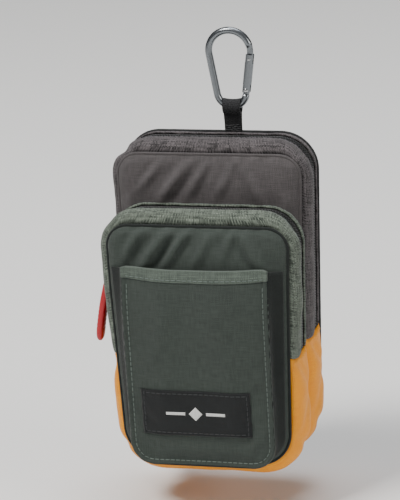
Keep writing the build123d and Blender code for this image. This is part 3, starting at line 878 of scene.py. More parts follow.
def base_walls():
    """The yellow wall under each compartment, one piece across its opening hinge that rides on no body."""
    for name, node, outline, seed, pair, zip_depth in (
        ("main_base", "main_base_wall", MAIN, 21.0, ("pouch", "main_cover"), ZIP_CENTRES["main"]),
        ("front_base", "front_base_wall", FRONT, 33.0, ("main_cover", "front_cover"), ZIP_CENTRES["front"]),
    ):
        back, front = depths(node)
        folds = (
            (BASE_HALF - 14 * MM, 6 * MM, 1.3 * MM, 1.5), (BASE_HALF - 33 * MM, 7 * MM, 1.1 * MM, -1.4),
            (BASE_HALF - 52 * MM, 4 * MM, 1.5 * MM, 0.6), (-BASE_HALF + 14 * MM, 5 * MM, 1.2 * MM, -0.8),
            (-BASE_HALF + 48 * MM, 4 * MM, 1.6 * MM, 0.6), (-BASE_HALF + 58 * MM, 3 * MM, 1.0 * MM, -0.3),
            (8 * MM, 9 * MM, 0.7 * MM, 0.4),
        )
        start, end = (Vector((0, -(zip_depth + by), BOTTOM)) for by in (-HALF_BLEND, HALF_BLEND))
        tree = wall_strip(name, outline, -BASE_HALF, BASE_HALF, (back, front), 4.8 * MM, None, YELLOW,
                          (node,), hems=(False, False),
                          tucks=(BACK_TUCK if outline is MAIN else 1.0, 1.0), seed=seed, folds=folds, rows=22,
                          blended=(*pair, start, end), from_bottom=True)
        for side in (-1, 1):
            w = side * (BASE_HALF - 2.2 * MM)
            spot = outline.at_low(w)[0]
            count = 8
            for part, body, low, high in (("back", pair[0], back + 1 * MM, zip_depth - 1.5 * MM),
                                          ("front", pair[1], zip_depth + 1.5 * MM, front - 1 * MM)):
                route = [spot + Vector((0, -(low + (high - low) * i / count), 0)) for i in range(count + 1)]
                toward = Vector((-side, 0, 0))
                label = f"{name}_stitches_{part}_{'right' if side > 0 else 'left'}"
                stitches(label, tree, route, lambda p, a, t=toward: t, body, THREAD_YELLOW)


def zips():
    """Each zip's two tapes and its two rows of teeth, which are apart only below its slider."""
    for prefix, outline, end, bodies in (
        ("main", MAIN, MAIN_END, ("pouch", "main_cover")),
        ("front", FRONT, FRONT_END, ("main_cover", "front_cover")),
    ):
        slider_low, slider_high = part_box(f"{prefix}_zip_slider")
        closed_from = -outline.where((slider_low.z + slider_high.z) / 2)
        for side, body, way in (("back", bodies[0], -1), ("front", bodies[1], 1)):
            tape(f"{prefix}_tape_{side}", outline, -end, end, depths(f"{prefix}_zip_tape_{side}"), 0.5 * MM,
                 body, (f"{prefix}_zip_tape_{side}",))
            teeth(f"{prefix}_teeth_{side}", outline, -end, end, ZIP_CENTRES[prefix], way, body,
                  (f"{prefix}_zip_coil_{side}",), lambda s, limit=closed_from: s > limit)


def bindings():
    """The bound seams round the back panel and the two front ones."""
    for name, outline, node, body, material, slot in (
        ("back_binding", MAIN, "back_piping", "pouch", BINDING, "binding"),
        ("cover_binding", MAIN_SEAM, "cover_piping", "main_cover", CHARCOAL, "binding"),
        ("front_binding", FRONT_SEAM, "front_piping", "front_cover", DARK_GREEN_PAINTED_SHADE, "binding"),
    ):
        middle = sum(depths(node)) / 2
        piping(name, outline, middle, 1.0 * MM, 0.1 * MM, body, material, (node,), flat=0.85)


# --- panels -----------------------------------------------------------------------------------------
# folds of each panel: centre x and z, direction in degrees, length, width and height, in mm
COVER_FOLDS = (
    (-33, -74, 52, 16, 3.2, 0.9), (-19, -77, 55, 24, 4.2, 1.5), (-5, -75, 60, 20, 3.6, 1.2),
    (10, -77, 64, 17, 3.8, 0.8), (27, -80, 112, 20, 4.2, 0.7), (44, -95, 80, 36, 4.5, 0.6),
    (-44, -96, 96, 34, 4.0, 0.7),
)
FRONT_FOLDS = (
    (-36, -103, 60, 18, 3.6, 1.0), (-24, -107, 54, 27, 4.4, 1.8), (-10, -104, 57, 24, 3.6, 1.4),
    (4, -106, 62, 20, 4.0, 0.9), (19, -102, 70, 16, 3.4, 0.8), (31, -106, 112, 18, 4.0, 0.9),
)
BACK_FOLDS = (
    (-30, -90, 70, 40, 7, 0.25), (25, -130, 110, 50, 9, 0.3), (-20, -190, 95, 50, 9, 0.25),
    (35, -205, 60, 40, 7, 0.25),
)
LINING_INSET = 5.5 * MM
LINING_FOLDS = ((0, -150, 90, 90, 8, -0.5), (-25, -150, 90, 90, 8, -0.5), (25, -150, 90, 90, 8, -0.5))


def panels():
    """The three padded panels; returns where the surfaces of the two front ones are."""
    padded_panel("back_padded_panel", MAIN, depths("back_panel")[0] + 0.7 * MM, 0.7 * MM, 2.0 * MM,
                 BACK_FOLDS, "pouch", CHARCOAL, ("back_panel", "back_foam"), facing=-1,
                 fullness=0.006)
    cover = padded_panel("cover_padded_panel", MAIN_SEAM, depths("cover_panel")[1] - 0.4 * MM, 1.2 * MM,
                         2.6 * MM, COVER_FOLDS, "main_cover", CHARCOAL,
                         ("cover_panel", "cover_foam"))
    front = padded_panel("front_padded_panel", FRONT_SEAM, depths("front_panel")[1] - 0.4 * MM, 1.4 * MM,
                         2.6 * MM, FRONT_FOLDS, "front_cover", GREEN,
                         ("front_panel", "front_foam"),
                         sewn=lambda p: p.z < MOUTH and FOOT.inside(p.x, p.z) < 3 * MM)
    return cover, front


def linings(cover, front):
    """The linings inside the compartments, which follow the panel that they lie over or behind."""
    for name, node, top, body, panel, gap in (
        ("back_lining_cloth", "back_lining", MAIN_TOP, "pouch", None, 0),
        ("cover_lining_cloth", "cover_lining", MAIN_TOP, "main_cover", cover, -2.6 * MM),
        ("front_rear_lining_cloth", "front_rear_lining", FRONT_TOP, "main_cover", cover, 1.1 * MM),
        ("front_lining_cloth", "front_lining", FRONT_TOP, "front_cover", front, -2.6 * MM),
    ):
        back, front_face = depths(node)
        shape, quilted = pouch_outline(top, LINING_INSET), crease_field(LINING_FOLDS)
        high = shape.top - shape.bottom

        def place(u, v):
            z = shape.bottom + v * high
            x, z = shape.rounded((2 * u - 1) * shape.half(z), z)
            soft = 0.2 * MM * wander(x, z, 14 * MM, back * 900) + 0.3 * quilted(x, z)
            soft *= smooth_step(shape.inside(x, z), 0, 6 * MM)
            if panel:
                return draped(panel, x, z, gap + abs(soft) * math.copysign(0.5, gap)), (x, z)
            return Vector((x, -((back + front_face) / 2 + 0.3 * MM + soft), z)), (x, z)

        bm = mapped_grid(36, 52, place)
        thicken(bm, 0.6 * MM)
        piece(name, bm, body, LINING, (node,))


# --- slip pocket ------------------------------------------------------------------------------------
POCKET_LOW, POCKET_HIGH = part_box("pocket_front")
HEM_LOW, HEM_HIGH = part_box("pocket_hem")
POCKET_HALF, MOUTH = (POCKET_HIGH.x - POCKET_LOW.x) / 2, HEM_HIGH.z
POCKET = Outline(MOUTH, POCKET_LOW.z, POCKET_HALF, POCKET_HALF, 0.2 * MM, 14 * MM)
POCKET_FACE = depths("pocket_front")[1]
FOOT = pouch_outline(FRONT_TOP, 4.8 * MM)
PINCH = 3.2 * MM  # edge of the pocket to the stitched line along it
MOUTH_LEAN = 4.2 * MM
POCKET_FOLDS = (
    (-20, -150, 80, 60, 9, 0.45), (16, -160, 100, 70, 10, 0.45), (33, -140, 96, 40, 5, 0.35),
    (-34, -190, 84, 40, 6, 0.4), (0, -222, 4, 60, 5, 0.35), (26, -222, 170, 26, 4, 0.3),
)


def mouth_lean(z):
    """How far the pocket's top is drawn back towards the panel."""
    return MOUTH_LEAN * (1 - smooth_step(MOUTH - z, -12 * MM, 30 * MM))


def pocket_face():
    """The pocket's front, a soft sheet with a stitched pinch along its edges. Returns its surface."""
    folds = crease_field(POCKET_FOLDS)
    high = POCKET.top - POCKET.bottom - 1.5 * MM

    def place(u, v):
        z = POCKET.bottom + v * high
        x, z = POCKET.rounded((2 * u - 1) * POCKET.half(z), z)
        beside = POCKET_HALF - abs(x - MIDDLE_X)
        edge = min(beside, POCKET.inside(x, z)) if z < POCKET.bottom + 30 * MM else beside
        loose = smooth_step(edge, 2 * MM, 26 * MM)
        crown = 1.9 * MM * loose * (0.55 + 0.45 * smooth_step(z, POCKET.bottom, POCKET.bottom + 55 * MM))
        pinch = 0.95 * MM * math.exp(-((edge - 1.1 * MM) / (1.0 * MM)) ** 2)
        groove = -0.45 * MM * math.exp(-((edge - PINCH) / (0.7 * MM)) ** 2)
        uneven = 0.3 * MM * wander(x, z, 24 * MM, 5) + 0.1 * MM * wander(x, z, 8 * MM, 8)
        soft = loose * (folds(x, z) + uneven)
        pucker = 0.16 * MM * math.sin(z / (0.9 * MM) + 3 * math.sin(z / (7 * MM)))
        pucker *= math.exp(-edge / (3.5 * MM))
        depth = POCKET_FACE - 0.9 * MM + crown + pinch + groove + soft + pucker - mouth_lean(z)
        depth -= 1.0 * MM * (1 - smooth_step(edge, -0.4 * MM, 0.8 * MM))
        return Vector((x, -depth, z)), (x, z)

    bm = mapped_grid(76, 96, place)
    stitched = POCKET_HALF - PINCH - 1 * MM
    border = {v.index for v in bm.verts if v.is_boundary or abs(v.co.x - MIDDLE_X) > stitched}
    settle(bm, lambda v: v.index in border, fullness=0.006, pressure=0.25, cap=1.2 * MM)
    tree = tree_of(bm)
    thicken(bm, 0.9 * MM)
    made = piece("pocket_face_cloth", bm, "front_cover", GREEN, ("pocket_front",))
    return tree


def pocket_side():
    """The splayed gusset from the front panel to the pocket's face, with a soft inward pleat."""
    reach_foot = FOOT.length - FOOT.where(MOUTH - 3 * MM)
    reach_face = POCKET.length - POCKET.where(MOUTH - 1.5 * MM)
    back, front = depths("pocket_gusset")[0], POCKET_FACE - 0.6 * MM

    def place(u, v):
        w = 2 * u - 1
        foot, foot_normal, _ = FOOT.at_low(w * reach_foot)
        face, face_normal, _ = POCKET.at_low(w * reach_face, -0.5 * MM)
        normal = foot_normal.lerp(face_normal, v).normalized()
        s = w * reach_face
        pleat = -(1.3 + 0.5 * math.sin(s / (13 * MM))) * MM * math.sin(math.pi * v) ** 2
        soft = 0.35 * MM * noise.noise(Vector((s / (9 * MM), v * 1.5, 12))) * math.sin(math.pi * v)
        point = foot.lerp(face, v) + normal * (pleat + soft)
        depth = back - 1.2 * MM + v * (front - mouth_lean(face.z) - back + 1.2 * MM)
        return point + Vector((0, -depth, 0)), (s, v * 11 * MM)

    bm = mapped_grid(150, 12, place)
    thicken(bm, 0.8 * MM)
    # the gusset's darker green is painted shade for its shaded side
    piece("pocket_side_gusset", bm, "front_cover", DARK_GREEN_PAINTED_SHADE, ("pocket_gusset",))


def pocket_hem(tree):
    """The folded band along the pocket's mouth, and the rows of stitches along it and round the pocket."""
    tall = HEM_HIGH.z - HEM_LOW.z
    face_top, face_half = MOUTH - 2.2 * MM, POCKET_HALF - 1.0 * MM

    def place(u, v):
        a, turn = 2 * u - 1, 2 * math.pi * v
        x = a * (POCKET_HALF - 0.1 * MM)
        sag = 1.1 * MM * (1 - a * a) + 0.25 * MM * wander(x, 0, 16 * MM, 2)
        up, out = math.cos(turn), math.sin(turn)
        reach = tall / 2 * (0.78 + 0.22 * (1 - abs(a) ** 16))
        z = HEM_HIGH.z - tall / 2 - sag + reach * math.copysign(abs(up) ** 0.75, up)
        under = draped(tree, MIDDLE_X + max(-face_half, min(face_half, x)), min(z, face_top), 0)
        closing = max(0.05, 1 - abs(a) ** 24) ** 0.5
        thick = 0.95 * MM * closing * abs(out) ** 0.6 * (1 + 0.3 * smooth_step(up, 0.3, 0.95))
        groove = 0.3 * MM * math.exp(-((up + 0.55) / 0.16) ** 2)
        lift = thick - groove * smooth_step(out, 0, 0.5) if out > 0 else -thick - 0.9 * MM * abs(out) ** 0.5
        return Vector((MIDDLE_X + x, under.y - lift, z)), (x, turn * 2.2 * MM)

    bm = mapped_grid(84, 40, place)
    clean(bm)
    bmesh.ops.holes_fill(bm, edges=[e for e in bm.edges if e.is_boundary], sides=0)
    clean(bm)
    hem_tree = tree_of(bm)
    # the hem band's lighter green is a painted highlight
    piece("pocket_hem_band", bm, "front_cover", HEM_PAINTED_HIGHLIGHT_GREEN, ("pocket_hem",))
    row = HEM_HIGH.z - tall * 0.78
    inset = POCKET_HALF - 1.5 * MM
    sagging = [Vector((MIDDLE_X + x * MM, -POCKET_FACE, row - 1.1 * MM * (1 - (x * MM / POCKET_HALF) ** 2)))
               for x in range(int(-inset / MM), int(inset / MM) + 1, 4)]
    stitches("pocket_hem_stitches", hem_tree, sagging, rearward, "front_cover", THREAD_GREEN)
    inner_half = POCKET_HALF - PINCH
    low_row = Outline(MOUTH, POCKET.bottom + PINCH, inner_half, inner_half, 0.2 * MM, 11 * MM)
    reach = low_row.length - low_row.where(MOUTH - tall - 3 * MM)
    edge = [low_row.at_low(reach * i / 90)[0] + Vector((0, -POCKET_FACE, 0)) for i in range(-90, 91)]
    stitches("pocket_edge_stitches", tree, edge, rearward, "front_cover", THREAD_GREEN)


def draped(tree, x, z, lift):
    """The point that lies over (x, z) on a surface that faces forwards."""
    hit = tree.ray_cast(Vector((x, -0.2, z)), Vector((0, 1, 0)))[0]
    return Vector((x, hit.y - lift, z))


def label(tree):
    """The woven label: satin ground, raised selvedge and stitched border, and its mark."""
    low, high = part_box("label_patch")
    centre_x, centre_z = (low.x + high.x) / 2, (low.z + high.z) / 2
    half_x, half_z = (high.x - low.x) / 2, (high.z - low.z) / 2

    def place(u, v):
        a, b = 2 * u - 1, 2 * v - 1
        edge = min((1 - abs(a)) * half_x, (1 - abs(b)) * half_z)
        lift = 0.75 * MM - 0.5 * MM * (1 - smooth_step(edge, -0.2 * MM, 0.5 * MM))
        lift += 0.22 * MM * math.exp(-((edge - 0.8 * MM) / (0.45 * MM)) ** 2)
        x = centre_x + a * half_x * (1 + 0.004 * math.sin(9 * b))
        z = centre_z + b * half_z * (1 + 0.006 * math.sin(7 * a))
        return draped(tree, x, z, lift), (x, z)

    bm = mapped_grid(84, 40, place)
    ground = tree_of(bm)
    thicken(bm, 0.7 * MM)
    piece("label_ground", bm, "front_cover", LABEL, ("label_patch",))

    inset_x, inset_z = half_x - 1.9 * MM, half_z - 1.9 * MM
    corners = [(-1, -1), (1, -1), (1, 1), (-1, 1), (-1, -1)]
    border = [Vector((centre_x + a * inset_x, -POCKET_FACE, centre_z + b * inset_z)) for a, b in corners]
    stitches("label_stitches", ground, border, rearward, "front_cover", THREAD_BLACK)
    label_mark(ground, centre_x, centre_z)


def label_mark(ground, centre_x, centre_z):
    """The label's plain mark, a diamond between two bars."""
    mark = bmesh.new()
    for x, wide, tall, turn in ((-11.5, 11.0, 1.7, 0), (0, 5.6, 5.6, 45), (11.5, 11.0, 1.7, 0)):
        cosine, sine = math.cos(math.radians(turn)), math.sin(math.radians(turn))

        def place_mark(u, v):
            a, b = (u - 0.5) * wide * MM, (v - 0.5) * tall * MM
            px, pz = centre_x + x * MM + a * cosine - b * sine, centre_z + a * sine + b * cosine
            swell = 0.16 * MM * (1 - (2 * v - 1) ** 4) * (1 - (2 * u - 1) ** 10)
            return draped(ground, px, pz, 0.08 * MM + swell), (px, pz)

        bar = mapped_grid(14, 8, place_mark)
        thicken(bar, 0.25 * MM)
        mesh = bpy.data.meshes.new("mark")
        bar.to_mesh(mesh)
        bar.free()
        mark.from_mesh(mesh)
    piece("label_mark", mark, "front_cover", LABEL_WHITE)


# --- hanging loop -----------------------------------------------------------------------------------
ROD = 2 * MM  # radius of the carabiner's rod
LOW_BOW_Z = -42 * MM  # centre of the rod where the loop hangs
EYE = 4.15 * MM  # middle of the webbing round the rod
SEWN_Z = -52 * MM  # below this the two layers are sewn together
LAYER = 0.58 * MM  # half the distance between the middles of the two sewn layers
WEBBING_HALF = 5 * MM  # half its width


def hanging_loop():
    """One tape round the rod and down on both sides, sewn flat above the top seam."""
    tail_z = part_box("hanging_loop")[0].z
    drop = LOW_BOW_Z - SEWN_Z
    reach = math.hypot(drop, LAYER)
    angle = math.asin((EYE - LAYER) / reach)  # lean of the straight run between the seam and the rod
    straight = reach * math.cos(math.asin(min(1.0, EYE / reach)))
    turn = math.pi / 2 - math.asin(min(1.0, EYE / reach)) + math.atan2(LAYER, drop) + math.pi / 2
    below, arc = SEWN_Z - tail_z, EYE * turn
    half = below + straight + arc
    contact = Vector((0, EYE * math.sin(turn), LOW_BOW_Z + EYE * math.cos(turn)))
    seam = Vector((0, LAYER, SEWN_Z))

    def path(t):
        """From the back tail's end, t = -half, over the rod at 0, to the front tail's end."""
        away, side = abs(t), (1 if t < 0 else -1)
        if away < arc:
            a = away / EYE
            point = Vector((0, EYE * math.sin(a), LOW_BOW_Z + EYE * math.cos(a)))
        elif away < arc + straight:
            point = contact.lerp(seam, (away - arc) / straight)
        else:
            point = seam + Vector((0, 0, -(away - arc - straight)))
        return Vector((0, side * point.y, point.z))

    def place(u, v):
        t, across = (2 * u - 1) * half, (2 * v - 1) * WEBBING_HALF
        point = path(t)
        over_rod = smooth_step(point.z, LOW_BOW_Z - 4 * MM, LOW_BOW_Z + 3 * MM)
        cupped = 0.6 * MM * (across / WEBBING_HALF) ** 2 * over_rod
        rib = 0.06 * MM * math.sin(t / (0.28 * MM))
        return point + Vector((across, 0, cupped + rib)), (across, t)

    bm = mapped_grid(120, 14, place)
    bmesh.ops.recalc_face_normals(bm, faces=bm.faces)
    if sum(f.normal.z for f in bm.faces if f.calc_center_median().z > LOW_BOW_Z) < 0:
        bmesh.ops.reverse_faces(bm, faces=bm.faces)
    tree = tree_of(bm)
    thicken(bm, 1.0 * MM)
    piece("hanging_webbing", bm, "pouch", WEBBING, ("hanging_loop",))
    for side, toward in (("front", Vector((0, 1, 0))), ("back", Vector((0, -1, 0)))):
        rows = [Vector(((-4 if i % 2 else 4) * MM, 0, SEWN_Z - (0.6 + 0.62 * i) * MM)) for i in range(7)]
        stitches(f"webbing_bartack_{side}", tree, rows, lambda p, a, t=toward: t, "pouch", THREAD_BLACK)


# --- carabiner --------------------------------------------------------------------------------------
TOP_BOW, LOW_BOW = 12 * MM, 8.5 * MM  # radii of the rod's centre line
TOP_BOW_Z, LOW_CENTRE_Z = ROD - TOP_BOW, LOW_BOW_Z + LOW_BOW
LEG_LEAN = math.asin((TOP_BOW - LOW_BOW) / (TOP_BOW_Z - LOW_CENTRE_Z))
LEG_LOW = Vector((LOW_BOW * math.cos(LEG_LEAN), 0, LOW_CENTRE_Z - LOW_BOW * math.sin(LEG_LEAN)))
LEG_HIGH = Vector((TOP_BOW * math.cos(LEG_LEAN), 0, TOP_BOW_Z - TOP_BOW * math.sin(LEG_LEAN)))
LEG = (LEG_HIGH - LEG_LOW).length
UP_LEG = (LEG_HIGH - LEG_LOW).normalized()
NOSE_TIP, LUG_TIP = LEG - 4.0 * MM, 4.4 * MM  # up the leg
LATCH_AT = LEG - 2.5 * MM
HINGE_AT = 2.5 * MM
FLAT_WIDE, FLAT_THICK = 1.75 * MM, 0.98 * MM  # half sizes of the flattened nose and lug
TIP_ROUND = 0.9 * MM


def rod_line(t):
    """Centre and outward direction of the rod, from the nose's tip round both bows to the hinge lug's tip.
    With None for t, the rod's whole length."""
    top_turn, low_turn = math.pi + 2 * LEG_LEAN, math.pi - 2 * LEG_LEAN
    runs = (LEG - NOSE_TIP, TOP_BOW * top_turn, LEG, LOW_BOW * low_turn, LUG_TIP)
    out = Vector((math.cos(LEG_LEAN), 0, -math.sin(LEG_LEAN)))
    if t is None:
        return sum(runs)
    if t < runs[0]:
        return LEG_LOW + UP_LEG * (NOSE_TIP + t), out
    t -= runs[0]
    if t < runs[1]:
        a = -LEG_LEAN + t / TOP_BOW
        ray = Vector((math.cos(a), 0, math.sin(a)))
        return Vector((0, 0, TOP_BOW_Z)) + TOP_BOW * ray, ray
    t -= runs[1]
    left_out = Vector((-out.x, 0, out.z))
    if t < runs[2]:
        high, low = Vector((-LEG_HIGH.x, 0, LEG_HIGH.z)), Vector((-LEG_LOW.x, 0, LEG_LOW.z))
        return high.lerp(low, t / runs[2]), left_out
    t -= runs[2]
    if t < runs[3]:
        a = math.pi + LEG_LEAN + t / LOW_BOW
        ray = Vector((math.cos(a), 0, math.sin(a)))
        return Vector((0, 0, LOW_CENTRE_Z)) + LOW_BOW * ray, ray
    return LEG_LOW + UP_LEG * (t - runs[3]), out


def carabiner_frame():
    """The bent rod with its flattened, notched nose and its hinge lug."""
    total = rod_line(None)

    def place(u, v):
        t, turn = u * total, 2 * math.pi * v
        centre, out = rod_line(t)
        nose = 1 - smooth_step(t, 7.6 * MM, 10.4 * MM)
        lug = smooth_step(t, total - LUG_TIP - 1.2 * MM, total - LUG_TIP + 0.4 * MM)
        flat = max(nose, lug)
        to_end = min(1.0, min(t, total - t) / TIP_ROUND)
        tip = math.sqrt(max(0.0, 1 - (1 - to_end) ** 2))
        cosine, sine = math.cos(turn), math.sin(turn)
        corner = 1 + 0.13 * flat * math.sin(2 * turn) ** 2
        wide = (ROD * (1 - flat) + FLAT_WIDE * flat) * corner * (0.55 + 0.45 * tip)
        thick = (ROD * (1 - flat) + FLAT_THICK * flat) * corner * (0.6 + 0.4 * tip)
        across = wide * cosine
        in_notch = abs(NOSE_TIP + t - LATCH_AT) < 0.85 * MM and t < LEG - NOSE_TIP
        if in_notch and across < 0.75 * MM:
            across = max(across, -1.0 * MM) + 0.6 * MM
        return centre + out * across + Vector((0, thick * sine, 0)), (t, turn * ROD)

    bm = mapped_grid(420, 20, place)
    clean(bm)
    bmesh.ops.holes_fill(bm, edges=[e for e in bm.edges if e.is_boundary], sides=0)
    clean(bm)
    frame_piece = piece("carabiner_frame", bm, "carabiner", GUNMETAL, ("carabiner_body",))
    frame_piece.data.set_sharp_from_angle(angle=math.radians(50))


def rivet_heads():
    """The domed heads of the gate's two pins."""
    for name, along, radius in (("hinge_rivet_heads", HINGE_AT, 1.35 * MM),
                                ("latch_pin_heads", LATCH_AT, 0.95 * MM)):
        heads = bmesh.new()
        centre = LEG_LOW + UP_LEG * along
        for side in (-1, 1):
            ball = bmesh.ops.create_uvsphere(heads, u_segments=20, v_segments=10, radius=radius)["verts"]
            flattened = Matrix.Diagonal((1, 0.5, 1, 1))
            placing = Matrix.Translation(centre + Vector((0, side * 2.2 * MM, 0))) @ flattened
            bmesh.ops.transform(heads, matrix=placing, verts=ball)
        piece(name, heads, "gate", STEEL)


# --- zip sliders and pulls --------------------------------------------------------------------------
PULL_SPLAY = math.radians(12)  # a stiff pull stands off from hanging straight down
PULL_LONG, PULL_WIDE, PULL_THICK = 40 * MM, 7.4 * MM, 4.6 * MM
PULL_DROP = 6.8 * MM  # from the hinge to the pull's top
LINK_LONG, LINK_HALF = 9 * MM, 2.5 * MM
LINK_CORNER, LINK_WIRE = 1.4 * MM, 0.62 * MM  # radii


def rounded_plate(long, wide, thick, corner, edge, taper=1.0):
    """A plate along X with rounded corners and softened edges; its tail end is narrower by taper."""
    bm = bmesh.new()
    bmesh.ops.create_grid(bm, x_segments=1, y_segments=1, size=0.5)
    bmesh.ops.scale(bm, vec=(long, wide, 1), verts=bm.verts)
    bmesh.ops.scale(bm, vec=(1, taper, 1), verts=[v for v in bm.verts if v.co.x < 0])
    bmesh.ops.bevel(bm, geom=bm.verts[:], offset=corner, offset_type="OFFSET", segments=8, profile=0.5,
                    affect="VERTICES", material=-1)
    raised = bmesh.ops.extrude_face_region(bm, geom=bm.faces[:])["geom"]
    top = [g for g in raised if isinstance(g, bmesh.types.BMVert)]
    bmesh.ops.translate(bm, vec=(0, 0, thick), verts=top)
    bmesh.ops.translate(bm, vec=(0, 0, -thick / 2), verts=bm.verts)
    clean(bm, 0.000002)
    rims = [e for e in bm.edges if len(e.link_faces) == 2 and e.calc_face_angle() > math.radians(60)]
    bmesh.ops.bevel(bm, geom=rims, offset=edge, offset_type="OFFSET", segments=3, profile=0.5,
                    affect="EDGES", material=-1)
    clean(bm, 0.000002)
    return bm


def joined(parts):
    """Several (bmesh, matrix) pairs as one bmesh."""
    whole = bmesh.new()
    for bm, placing in parts:
        bmesh.ops.transform(bm, matrix=placing, verts=bm.verts)
        mesh = bpy.data.meshes.new("part")
        bm.to_mesh(mesh)
        bm.free()
        whole.from_mesh(mesh)
    return whole


def ring_tube(points, radius, sides=10):
    """A closed wire through points."""
    count = len(points)

    def place(u, v):
        i = round(u * count) % count
        here, ahead = points[i], (points[(i + 1) % count] - points[i - 1]).normalized()
        side = Vector((1, 0, 0))
        other = ahead.cross(side)
        turn = 2 * math.pi * v
        return here + radius * (math.cos(turn) * side + math.sin(turn) * other), (u, v)

    bm = mapped_grid(count, sides, place)
    clean(bm, 0.000002)
    return bm


def slider_body(prefix, outline):
    """A slider on the left wall: two plates, the post between them and the bridge that holds the link."""
    low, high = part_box(f"{prefix}_zip_slider")
    point, normal, ahead = outline.at(-outline.where((low.z + high.z) / 2))
    point.y = -ZIP_CENTRES[prefix]
    parts = [
        (rounded_plate(10 * MM, 8 * MM, 1.25 * MM, 2.4 * MM, 0.35 * MM, taper=0.72),
         Matrix.Translation((0, 0, 1.1 * MM))),
        (rounded_plate(10 * MM, 8 * MM, 1.1 * MM, 2.4 * MM, 0.3 * MM, taper=0.72),
         Matrix.Translation((0, 0, -3.1 * MM))),
        (rounded_plate(3 * MM, 0.9 * MM, 3.4 * MM, 0.3 * MM, 0.1 * MM),
         Matrix.Translation((2.6 * MM, 0, -1.0 * MM))),
    ]

    def bridge(u, v):
        turn, around = math.pi * u, 2 * math.pi * v
        x, z = -3.4 * MM * math.cos(turn), 1.4 * MM + 2.9 * MM * math.sin(turn) ** 0.8
        away = Vector((-math.cos(turn), 0, 0.9 * math.sin(turn) + 0.02)).normalized()
        return Vector((x, 0.95 * MM * math.sin(around), z)) + away * 0.55 * MM * math.cos(around), (u, v)

    arch = mapped_grid(28, 12, bridge)
    clean(arch, 0.000002)
    bmesh.ops.holes_fill(arch, edges=[e for e in arch.edges if e.is_boundary], sides=0)
    parts.append((arch, Matrix.Identity(4)))
    bm = joined(parts)
    bmesh.ops.transform(bm, matrix=frame_at(point, ahead, normal), verts=bm.verts)
    bmesh.ops.recalc_face_normals(bm, faces=bm.faces)
    slider = piece(f"{prefix}_slider_body", bm, f"{prefix}_slider", GUNMETAL,
                   (f"{prefix}_zip_slider",))
    slider.data.set_sharp_from_angle(angle=math.radians(40))


def pull_link(prefix, hinge, splay):
    """The oblong wire ring that hangs in a slider's bridge."""
    route, half = [], LINK_HALF - LINK_CORNER
    for side, drop, first in ((1, LINK_CORNER, 0), (-1, LINK_CORNER, 90),
                              (-1, LINK_LONG - LINK_CORNER, 180), (1, LINK_LONG - LINK_CORNER, 270)):
        for i in range(7):
            a = math.radians(first + 15 * i)
            corner = hinge + Vector((0, side * half, -drop))
            route.append(splay @ (corner + LINK_CORNER * Vector((0, math.cos(a), math.sin(a)))))
    piece(f"{prefix}_pull_link", ring_tube(route, LINK_WIRE), f"{prefix}_pull", GUNMETAL,
          (f"{prefix}_zip_link",))


def moulded_pull(prefix, hinge, splay):
    """A moulded pull, a little bowed, with a waist near its top and five grip ribs."""
    def mould(u, v):
        turn = 2 * math.pi * v
        ends = (1 - abs(2 * u - 1) ** 9) ** 0.5
        waist = 1 - 0.10 * math.exp(-((u - 0.24) / 0.11) ** 2)
        ribs = 1 - 0.07 * sum(math.exp(-((u - 0.52 - 0.065 * k) / 0.012) ** 2) for k in range(5))
        across = PULL_WIDE / 2 * math.copysign(abs(math.cos(turn)) ** 0.7, math.cos(turn)) * waist
        deep = PULL_THICK / 2 * math.copysign(abs(math.sin(turn)) ** 0.7, math.sin(turn)) * ribs
        bow = 0.9 * MM * (2 * u - 1) ** 2 - 0.45 * MM
        down = PULL_DROP + u * PULL_LONG
        return splay @ (hinge + Vector((bow + deep * ends, across * ends, -down))), (u, v)

    bm = mapped_grid(150, 28, mould)
    clean(bm, 0.000002)
    piece(f"{prefix}_moulded_pull", bm, f"{prefix}_pull", RED, (f"{prefix}_zip_pull",))


def zip_pulls():
    """Each zip's slider, link and pull, about the hinge that the pull swings on."""
    for prefix, outline in (("main", MAIN), ("front", FRONT)):
        joint = next(j for j in frame["joints"] if j["name"] == f"{prefix}_pull_swing")
        hinge = Vector(joint["pos_m"])
        splay = Matrix.Translation(hinge) @ Matrix.Rotation(PULL_SPLAY, 4, "Y") @ Matrix.Translation(-hinge)
        slider_body(prefix, outline)
        pull_link(prefix, hinge, splay)
        moulded_pull(prefix, hinge, splay)


def kept_nodes():
    """CAD nodes whose own shape is right get their finish here."""
    for node, material in (("carabiner_gate", GUNMETAL), ("gate_hinge_pin", STEEL), ("gate_latch_pin", STEEL),
                           ("gate_plunger", STEEL), ("gate_spring", STEEL)):
        made = frame["nodes"][node]
        made.data.materials.clear()
        made.data.materials.append(material)


side_strips()
base_walls()
zips()
bindings()
linings(*panels())
pocket_tree = pocket_face()
pocket_side()
pocket_hem(pocket_tree)
label(pocket_tree)
hanging_loop()
carabiner_frame()
rivet_heads()
zip_pulls()
kept_nodes()


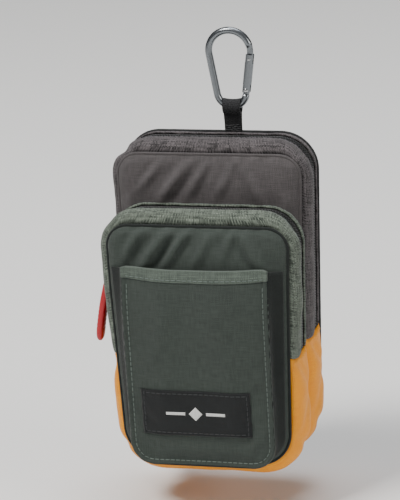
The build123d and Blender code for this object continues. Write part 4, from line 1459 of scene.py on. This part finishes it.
# --- studio -----------------------------------------------------------------------------------------
def studio():
    """A pale floor below the hanging pouch, under soft light from the upper left."""
    mesh = bpy.data.meshes.new("floor")
    bm = bmesh.new()
    bmesh.ops.create_grid(bm, x_segments=8, y_segments=8, size=20.0)
    bmesh.ops.translate(bm, vec=(0, 0, BOTTOM - 30 * MM), verts=bm.verts)
    bm.to_mesh(mesh)
    bm.free()
    floor = bpy.data.objects.new("floor", mesh)
    bpy.context.scene.collection.objects.link(floor)
    pale, _, shader = new_material("pale_floor", 0.7)
    shader.inputs["Base Color"].default_value = (0.78, 0.78, 0.77, 1)
    mesh.materials.append(pale)

    world = bpy.data.worlds.new("studio")
    bpy.context.scene.world = world
    world.use_nodes = True
    background = world.node_tree.nodes["Background"]
    background.inputs["Color"].default_value = (0.93, 0.95, 0.98, 1)
    background.inputs["Strength"].default_value = 0.17

    middle = Vector((0, -0.03, -0.14))
    for name, place, size, power, colour in (
        ("key", (-1.0, -1.2, 2.3), 0.85, 98.0, (1.0, 0.97, 0.93)),
        ("right_fill", (2.0, -0.8, 0.6), 0.75, 19.0, (1.0, 0.96, 0.9)),
        ("top", (0.1, 0.35, 1.8), 1.1, 30.0, (0.95, 0.97, 1.0)),
        ("front", (0.2, -2.6, 0.1), 1.8, 3.0, (1.0, 1.0, 1.0)),
    ):
        lamp = bpy.data.lights.new(name, "AREA")
        lamp.size, lamp.energy, lamp.color = size, power, colour
        light = bpy.data.objects.new(name, lamp)
        light.location = place
        light.rotation_euler = (middle - Vector(place)).to_track_quat("-Z", "Y").to_euler()
        bpy.context.scene.collection.objects.link(light)


def camera(azimuth=16.0, elevation=18.0, roll=-3.5, distance=1.56, lens=200.0):
    """The camera stands to the right of the pouch and above it, and leans a little."""
    aim = (cad_low + cad_high) / 2
    a, e = math.radians(azimuth), math.radians(elevation)
    back = Vector((math.sin(a) * math.cos(e), -math.cos(a) * math.cos(e), math.sin(e)))
    lens_data = bpy.data.cameras.new("camera")
    lens_data.lens = lens
    made = bpy.data.objects.new("camera", lens_data)
    turned = (-back).to_track_quat("-Z", "Y").to_matrix().to_4x4()
    rolled = Matrix.Rotation(math.radians(roll), 4, "Z")
    made.matrix_world = Matrix.Translation(aim + back * distance) @ turned @ rolled
    bpy.context.scene.collection.objects.link(made)
    bpy.context.scene.camera = made


studio()
camera()
